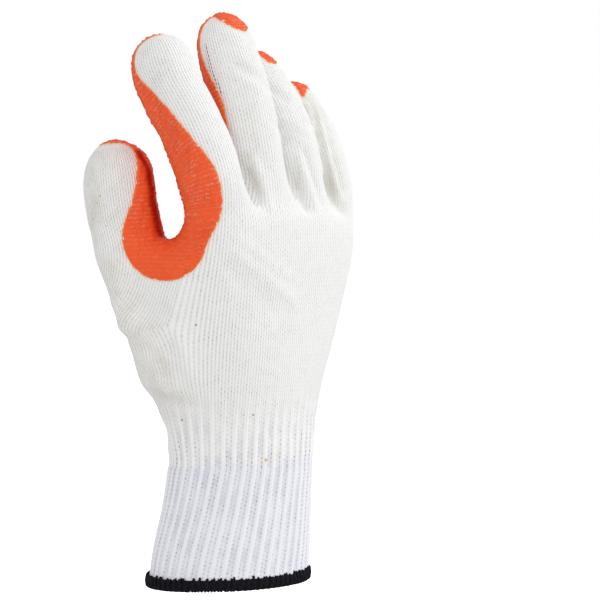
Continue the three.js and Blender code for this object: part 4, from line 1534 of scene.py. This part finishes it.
def newGroup(name, inputs, outputs):
    # A shader node group; an output that is only a name is a value.
    tree = bpy.data.node_groups.new(name, "ShaderNodeTree")
    for label, kind, value in inputs:
        socket = tree.interface.new_socket(label, in_out="INPUT", socket_type="NodeSocket" + kind)
        if value is not None:
            socket.default_value = value
    for output in outputs:
        label, kind = (output, "Float") if isinstance(output, str) else output
        tree.interface.new_socket(label, in_out="OUTPUT", socket_type="NodeSocket" + kind)
    return tree, tree.nodes.new("NodeGroupInput"), tree.nodes.new("NodeGroupOutput")


def mixColour(tree, share, first, second, blend="MIX"):
    node = tree.nodes.new("ShaderNodeMix")
    node.data_type = "RGBA"
    node.blend_type = blend
    sockets = [s for s in node.inputs if s.enabled]
    for socket, value in zip(sockets, (share, first, second)):
        if isinstance(value, (int, float, tuple)):
            socket.default_value = value
        else:
            tree.links.new(value, socket)
    return [s for s in node.outputs if s.enabled][0]


def noiseNode(tree, vector, size, detail=2.0, roughness=0.55):
    node = tree.nodes.new("ShaderNodeTexNoise")
    node.inputs["Scale"].default_value = 1.0 / size
    node.inputs["Detail"].default_value = detail
    node.inputs["Roughness"].default_value = roughness
    tree.links.new(vector, node.inputs["Vector"])
    return node.outputs["Fac"]


def makeStitchGroup():
    # Plain knit: two slanting legs to a wale, thin lines between them, and a small hole where loops meet.
    tree, start, end = newGroup("knit stitches", [
        ("Wales", "Vector", None), ("Leg Slant", "Float", 0.5),
        ("Hole Width", "Float", 3.0), ("Hole Length", "Float", 2.0)],
        ["Height", "Hole", "Line", "Ridge"])
    wales = axesOf(tree, start.outputs["Wales"])
    share = mathNode(tree, "FRACT", wales["X"])
    away = mathNode(tree, "ABSOLUTE", mathNode(tree, "MULTIPLY_ADD", share, 2.0, -1.0))
    legs = mathNode(tree, "SINE", product(tree, away, math.pi))
    slant = product(tree, away, start.outputs["Leg Slant"])
    dots = cosineWave(tree, mathNode(tree, "SUBTRACT", wales["Y"], slant))
    gap = mathNode(tree, "SUBTRACT", 1.0, legs)
    hole = product(tree, mathNode(tree, "POWER", gap, start.outputs["Hole Width"]),
                   mathNode(tree, "POWER", dots, start.outputs["Hole Length"]))
    line = mathNode(tree, "POWER", gap, 4.0)
    cross = mathNode(tree, "POWER", dots, 4.0)
    height = mathNode(tree, "SUBTRACT", mathNode(tree, "POWER", legs, 0.7), product(tree, cross, 0.25))
    height = mathNode(tree, "SUBTRACT", height, product(tree, hole, 0.8))
    ridge = mathNode(tree, "MAXIMUM", cross, product(tree, line, 0.85))
    for label, value in (("Height", height), ("Hole", hole), ("Line", line), ("Ridge", ridge)):
        tree.links.new(value, end.inputs[label])
    return tree


def makeRibGroup():
    # Coordinates for ribbed knit: one pair of stitch columns to a rib, drawn towards the hollow beside it,
    # and a mask for painted shade in the valley between ribs.
    tree, start, end = newGroup("rib columns", [
        ("Wales", "Vector", None), ("Pull", "Float", 0.06)],
        [("Columns", "Vector"), "Valley Shade"])
    wales = axesOf(tree, start.outputs["Wales"])
    rib = product(tree, wales["X"], 0.5)
    bend = product(tree, mathNode(tree, "SINE", product(tree, rib, tau)), start.outputs["Pull"])
    columns = mathNode(tree, "SUBTRACT", mathNode(tree, "SUBTRACT", rib, 0.25), bend)
    joined = tree.nodes.new("ShaderNodeCombineXYZ")
    tree.links.new(columns, joined.inputs["X"])
    tree.links.new(wales["Y"], joined.inputs["Y"])
    tree.links.new(joined.outputs["Vector"], end.inputs["Columns"])
    tree.links.new(mathNode(tree, "POWER", cosineWave(tree, rib, -0.5), 2.0), end.inputs["Valley Shade"])
    return tree


def makeSpeckGroup():
    # Rare tiny specks: one in many cells holds a dot.
    tree, start, end = newGroup("lint specks", [
        ("Place", "Vector", None), ("Cell", "Float", 200.0),
        ("Rarity", "Float", 0.95), ("Radius", "Float", 0.1)],
        ["Speck"])
    cells = tree.nodes.new("ShaderNodeTexVoronoi")
    tree.links.new(start.outputs["Place"], cells.inputs["Vector"])
    tree.links.new(start.outputs["Cell"], cells.inputs["Scale"])
    split = tree.nodes.new("ShaderNodeSeparateColor")
    tree.links.new(cells.outputs["Color"], split.inputs["Color"])
    rare = mathNode(tree, "GREATER_THAN", split.outputs["Red"], start.outputs["Rarity"])
    near = mathNode(tree, "LESS_THAN", cells.outputs["Distance"], start.outputs["Radius"])
    tree.links.new(product(tree, rare, near), end.inputs["Speck"])
    return tree


def makeDyeGroup():
    # Where the hand's warmer yarn gives way to the cuff's cooler yarn: an uneven line at the wrist.
    tree, start, end = newGroup("yarn change", [
        ("Place", "Vector", None), ("Level", "Float", 0.0542), ("Unevenness", "Float", 0.016)],
        ["Cool"])
    place = axesOf(tree, start.outputs["Place"])
    stretched = vectorNode(tree, "MULTIPLY", start.outputs["Place"], (1.0, 1.0, 0.35))
    drift = mathNode(tree, "SUBTRACT", noiseNode(tree, stretched, 0.005, 2.0), 0.5)
    level = mathNode(tree, "ADD", place["Z"], product(tree, drift, start.outputs["Unevenness"]))
    slope = mathNode(tree, "SUBTRACT", product(tree, place["X"], 0.04), product(tree, place["Y"], 0.044))
    above = mathNode(tree, "SUBTRACT", mathNode(tree, "SUBTRACT", level, slope), start.outputs["Level"])
    cool = mathNode(tree, "MULTIPLY_ADD", above, -700.0, 0.5)
    cool = mathNode(tree, "MINIMUM", mathNode(tree, "MAXIMUM", cool, 0.0), 1.0)
    tree.links.new(cool, end.inputs["Cool"])
    return tree


stitchGroup = makeStitchGroup()
ribGroup = makeRibGroup()
speckGroup = makeSpeckGroup()
dyeGroup = makeDyeGroup()


def placeGroup(tree, group, links, values=None):
    node = tree.nodes.new("ShaderNodeGroup")
    node.node_tree = group
    for label, socket in links.items():
        tree.links.new(socket, node.inputs[label])
    for label, value in (values or {}).items():
        node.inputs[label].default_value = value
    return node


def startMaterial(name):
    material = bpy.data.materials.new(name)
    material.use_nodes = True
    tree = material.node_tree
    shader = tree.nodes["Principled BSDF"]
    place = tree.nodes.new("ShaderNodeTexCoord").outputs["Object"]
    return material, tree, shader, place


def uvNode(tree):
    node = tree.nodes.new("ShaderNodeUVMap")
    node.uv_map = "knitUv"
    return node.outputs["UV"]


def fieldNode(tree, name):
    node = tree.nodes.new("ShaderNodeAttribute")
    node.attribute_name = name
    return node.outputs["Fac"]


def addBump(tree, shader, height, strength, distance):
    node = tree.nodes.new("ShaderNodeBump")
    node.inputs["Strength"].default_value = strength
    node.inputs["Distance"].default_value = distance
    tree.links.new(height, node.inputs["Height"])
    tree.links.new(node.outputs["Normal"], shader.inputs["Normal"])


def mixValue(tree, share, first, second):
    # first where share is 0, second where it is 1.
    return mathNode(tree, "MULTIPLY_ADD", mathNode(tree, "SUBTRACT", second, first), share, first)


def patches(tree, place, size, detail, *limits):
    # An uneven mask over the surface.
    return mapRange(tree, noiseNode(tree, place, size, detail), *limits)


# Patches are given as size in metres, detail, the noise's limits and the mask's limits.
yarnLook = {
    "warm": (251, 251, 250),
    "cool": (245, 246, 252),
    # The line and hole colours are painted shade in the grooves between stitch legs and in the holes between
    # loops; the hollow colour is painted shade in the valleys between ribs.
    "plain": {"slant": 0.5, "width": 2.2, "length": 0.7, "line": (220, 218, 213), "hole": (190, 184, 175),
              "lineShare": 0.7, "holeShare": 0.6},
    "ribbed": {"slant": 0.5, "width": 3.2, "length": 2.0, "line": (214, 213, 220), "hole": (126, 110, 122),
               "lineShare": 0.3, "holeShare": 0.85, "hollow": (214, 214, 226)},
    "patchy": (0.004, 3.0, 0.35, 0.7, 0.4, 1.3),
    "fine": (0.0011, 2.0, 0.35, 0.7, 0.3, 1.3),
    "valleyShadePatches": (0.011, 2.0, 0.35, 0.65, 0.1, 0.7),
    "ageAndShadePatches": (0.008, 3.0, 0.35, 0.65, 0.3, 1.0),
    "ageAndShadeShare": 0.5,
    "agedAndShadedTone": (228, 223, 207),
    "soakedRange": (-1.4, -0.1, 0.0, 0.4),
    "soaked": (250, 190, 150),
    "ladder": (84, 30, 38),
    "specks": {"Cell": 160.0, "Rarity": 0.988, "Radius": 0.1},
    "speck": (150, 120, 90),
    "speckShare": 0.35,
    "roughness": 0.95,
    "specular": 0.15,
    "bump": 0.55,
    "depth": 0.0005,
    "ribFrom": 0.092,
    "ribTo": 0.056,
    "litWay": (0.669, -0.743, 0.0),
    "litRange": (0.012, 0.05, 1.0, 0.5),
}
upward = (0.0, 0.0, 1.0)


def knitShares(tree, place, look, stitches):
    # How far the painted shade in the stitch holes and in the lines between the legs darkens the yarn,
    # uneven as real yarn is.
    uneven = product(tree, patches(tree, place, *yarnLook["patchy"]),
                     patches(tree, place, *yarnLook["fine"]))
    hole = product(tree, stitches.outputs["Hole"], look["holeShare"], uneven)
    line = product(tree, stitches.outputs["Line"], look["lineShare"], uneven)
    return mathNode(tree, "MINIMUM", hole, 1.0), mathNode(tree, "MINIMUM", line, 1.0)


def knitStitches(tree, uv, look):
    sizes = {"Leg Slant": look["slant"], "Hole Width": look["width"], "Hole Length": look["length"]}
    return placeGroup(tree, stitchGroup, {"Wales": uv}, sizes)


def yarnBase(tree, place):
    cool = placeGroup(tree, dyeGroup, {"Place": place}).outputs["Cool"]
    return mixColour(tree, cool, colourOf(*yarnLook["warm"]), colourOf(*yarnLook["cool"]))


def ribbedKnit(tree, place, colour):
    look = yarnLook["ribbed"]
    ribs = placeGroup(tree, ribGroup, {"Wales": uvNode(tree)})
    stitches = knitStitches(tree, ribs.outputs["Columns"], look)
    hole, line = knitShares(tree, place, look, stitches)
    # painted shade: the valleys between the ribs are darkened to a lavender grey in the colour, as are the
    # stitch lines and holes
    hollow = product(tree, ribs.outputs["Valley Shade"], patches(tree, place, *yarnLook["valleyShadePatches"]))
    for share, name in ((hollow, "hollow"), (line, "line"), (hole, "hole")):
        colour = mixColour(tree, share, colour, colourOf(*look[name]))
    return colour, stitches.outputs["Height"]


def finishSkin(tree, shader, colour, height, look):
    tree.links.new(colour, shader.inputs["Base Color"])
    shader.inputs["Roughness"].default_value = look["roughness"]
    shader.inputs["Specular IOR Level"].default_value = look["specular"]
    addBump(tree, shader, height, look["bump"], look["depth"])


# Small spots on the knit, by pixel of the photograph's frame: place, radius in mm and colour.
spotTable = [
    (196, 325, 0.35, (178, 140, 96)), (182, 420, 0.35, (176, 140, 100)), (253, 415, 0.3, (180, 146, 108)),
    (266, 460, 0.55, (226, 168, 96)), (100, 196, 0.3, (196, 182, 152)), (97, 203, 0.25, (188, 172, 144)),
    (93, 219, 0.3, (196, 182, 152)), (106, 226, 0.25, (196, 182, 156)),
]


def addSpots(tree, place, colour):
    for pixelX, pixelY, radius, tone in spotTable:
        start, way = pixelRay(pixelX, pixelY)
        hit = handSight.ray_cast(start, way)[0]
        away = vectorNode(tree, "DISTANCE", place, tuple(hit))
        mask = mapRange(tree, away, radius * millimetre, 2 * radius * millimetre, 0.8, 0.0)
        colour = mixColour(tree, mask, colour, colourOf(*tone))
    return colour


def handYarn():
    look = yarnLook
    plainLook = look["plain"]
    material, tree, shader, place = startMaterial("hand yarn")
    # painted shade: the age mix darkens the yarn to a beige grey, both where it has yellowed and in the
    # dimples and finger-root gathers where shade falls
    ageAndShade = product(tree, fieldNode(tree, "ageAndShade"), look["ageAndShadeShare"], patches(tree, place, *look["ageAndShadePatches"]))
    base = mixColour(tree, ageAndShade, yarnBase(tree, place), colourOf(*look["agedAndShadedTone"]))
    stitches = knitStitches(tree, uvNode(tree), plainLook)
    hole, line = knitShares(tree, place, plainLook, stitches)
    # painted light: the painted shade of the stitches fades by half towards the right side, where the key
    # light falls, and fades where the soft field is set
    lit = mapRange(tree, vectorNode(tree, "DOT_PRODUCT", place, look["litWay"]), *look["litRange"])
    lit = product(tree, lit, mathNode(tree, "SUBTRACT", 1.0, fieldNode(tree, "soft")))
    # painted shade: the lines between stitch legs and the holes between loops are darkened in the colour
    plain = mixColour(tree, product(tree, line, lit), base, colourOf(*plainLook["line"]))
    plain = mixColour(tree, product(tree, hole, lit), plain, colourOf(*plainLook["hole"]))
    ribbed, ribHeight = ribbedKnit(tree, place, base)
    level = vectorNode(tree, "DOT_PRODUCT", place, upward)
    ribShare = mapRange(tree, level, look["ribTo"], look["ribFrom"], 1.0, 0.0)
    colour = mixColour(tree, ribShare, plain, ribbed)
    height = mixValue(tree, ribShare, stitches.outputs["Height"], ribHeight)
    soaked = mapRange(tree, fieldNode(tree, "coat"), *look["soakedRange"])
    colour = mixColour(tree, soaked, colour, colourOf(*look["soaked"]))
    dark = product(tree, mapRange(tree, fieldNode(tree, "ladder"), 0.35, 1.0),
                   mapRange(tree, stitches.outputs["Hole"], 0.04, 0.2))
    colour = mixColour(tree, dark, colour, colourOf(*look["ladder"]))
    specks = placeGroup(tree, speckGroup, {"Place": place}, look["specks"]).outputs["Speck"]
    colour = mixColour(tree, product(tree, specks, look["speckShare"]), colour, colourOf(*look["speck"]))
    finishSkin(tree, shader, addSpots(tree, place, colour), height, look)
    return material


def cuffYarn():
    material, tree, shader, place = startMaterial("cuff yarn")
    colour, height = ribbedKnit(tree, place, yarnBase(tree, place))
    finishSkin(tree, shader, colour, height, yarnLook)
    return material


latexLook = {
    "face": (255, 96, 36),
    # deep: tone that differs at random, and painted shade in the pits of the net
    "deep": (236, 58, 16),
    # ridge: painted highlight on the net's ridges
    "ridge": (255, 184, 152),
    "edge": (255, 150, 66),
    # turned: painted shade where the surface turns from the camera and in the thumb's gap
    "turned": (170, 14, 5),
    "stitches": {"slant": 0.3, "width": 3.0, "length": 2.0},
    "unevenPatches": (0.009, 3.0, 0.38, 0.62, 0.3, 1.0),
    "brokenPatches": (0.0017, 2.0, 0.42, 0.62, 0.12, 1.0),
    "tonePatches": (0.014, 2.0, 0.3, 0.7),
    "toneShare": 0.25,
    "pitShadeShare": 0.2,
    "ridgeHighlightRange": (0.148, 0.176, 0.22, 0.6),
    "grazingShadeRange": (0.6, 1.0, 0.0, 0.45),
    "shadeRange": (0.05, 1.0, 0.0, 0.9),
    "edgeRange": (0.1, 0.8, 0.5, 0.0),
    "grain": (0.0009, 2.0),
    "grainShare": 0.6,
    "roughness": 0.5,
    "specular": 0.32,
    "specularFall": -0.28,
    "bump": 0.45,
    "depth": 0.0005,
}


def latexSkin():
    look = latexLook
    material, tree, shader, place = startMaterial("orange latex")
    net = knitStitches(tree, uvNode(tree), look["stitches"]).outputs["Ridge"]
    uneven = patches(tree, place, *look["unevenPatches"])
    ridge = product(tree, net, uneven, patches(tree, place, *look["brokenPatches"]))
    # painted shade: the pits between the net's ridges take some of the deep colour
    pit = product(tree, mathNode(tree, "SUBTRACT", 1.0, net), uneven)
    tone = product(tree, patches(tree, place, *look["tonePatches"]), look["toneShare"])
    level = vectorNode(tree, "DOT_PRODUCT", place, upward)
    # painted highlight: the net's ridges are lightened to a pale pink, more strongly higher up
    ridgeHighlight = product(tree, ridge, mapRange(tree, level, *look["ridgeHighlightRange"]))
    # painted shade: a deep red where the surface turns from the camera and along the thumb's gap; the
    # specular is lowered there too
    facing = tree.nodes.new("ShaderNodeLayerWeight").outputs["Facing"]
    turned = mathNode(tree, "MAXIMUM", mapRange(tree, facing, *look["grazingShadeRange"]),
                      mapRange(tree, fieldNode(tree, "shade"), *look["shadeRange"]))
    edge = mapRange(tree, fieldNode(tree, "depth"), *look["edgeRange"])
    colour = mixColour(tree, tone, colourOf(*look["face"]), colourOf(*look["deep"]))
    pits = product(tree, pit, look["pitShadeShare"])
    for share, name in ((pits, "deep"), (ridgeHighlight, "ridge"), (turned, "turned"), (edge, "edge")):
        colour = mixColour(tree, share, colour, colourOf(*look[name]))
    grain = product(tree, noiseNode(tree, place, *look["grain"]), look["grainShare"])
    finishSkin(tree, shader, colour, mathNode(tree, "ADD", ridge, grain), look)
    shine = mathNode(tree, "MULTIPLY_ADD", turned, look["specularFall"], look["specular"])
    tree.links.new(shine, shader.inputs["Specular IOR Level"])
    return material


threadLook = {
    "fibre": (0.0006, 3.0),
    "dark": (0.003, 0.003, 0.0045, 1.0),
    "light": (0.018, 0.018, 0.026, 1.0),
    "specks": {"Cell": 240.0, "Rarity": 0.985, "Radius": 0.12},
    "lint": (225, 228, 240),
    "roughness": 0.9,
    "specular": 0.15,
    "bump": 0.6,
    "depth": 0.0003,
}


def hemThread():
    look = threadLook
    material, tree, shader, place = startMaterial("hem thread")
    fibre = noiseNode(tree, place, *look["fibre"])
    colour = mixColour(tree, mapRange(tree, fibre, 0.35, 0.75), look["dark"], look["light"])
    specks = placeGroup(tree, speckGroup, {"Place": place}, look["specks"]).outputs["Speck"]
    colour = mixColour(tree, specks, colour, colourOf(*look["lint"]))
    finishSkin(tree, shader, colour, fibre, look)
    return material


yarn = handYarn()
cuffCloth = cuffYarn()
latex = latexSkin()
thread = hemThread()
hand.data.materials.append(yarn)
coat.data.materials.append(latex)
print("materials made")

ribValues = {"Rib Depth": ribForm["depth"] * millimetre, "Ridge Sharpness": ribForm["sharpness"],
             "Cloth": cuffCloth}
cuff = applyTree(makeCuff(), ribTree(), ribValues, "cuff_knit")
band = makeHemBand()
band.data.materials.append(thread)
stitch = stitchMesh()
stitchValues = {"Unevenness": hemForm["unevenness"], "Slant": hemForm["slant"], "Seed": hemForm["seed"],
                "Thread": thread}
stitches = applyTree(hemLine(), stitchTree(stitch), stitchValues, "hem_stitches")
bpy.data.objects.remove(stitch)
print("cuff and hem made", len(cuff.data.polygons), len(stitches.data.polygons))

for piece in (hand, coat, cuff, band, stitches):
    piece.data.shade_smooth()
for piece in (hand, cuff, band):
    piece.data.set_sharp_from_angle(angle=math.radians(62))

pieceTable = [
    (hand, "hand_yarn", ["knit_hand"]),
    (coat, "latex", ["latex_coating"]),
    (cuff, "cuff_yarn", ["knit_cuff"]),
    (band, "hem_thread", ["overlock_hem"]),
    (stitches, "hem_thread", []),
]
for piece, slotName, nodes in pieceTable:
    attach(piece, "root")
    if nodes:
        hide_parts(*nodes)
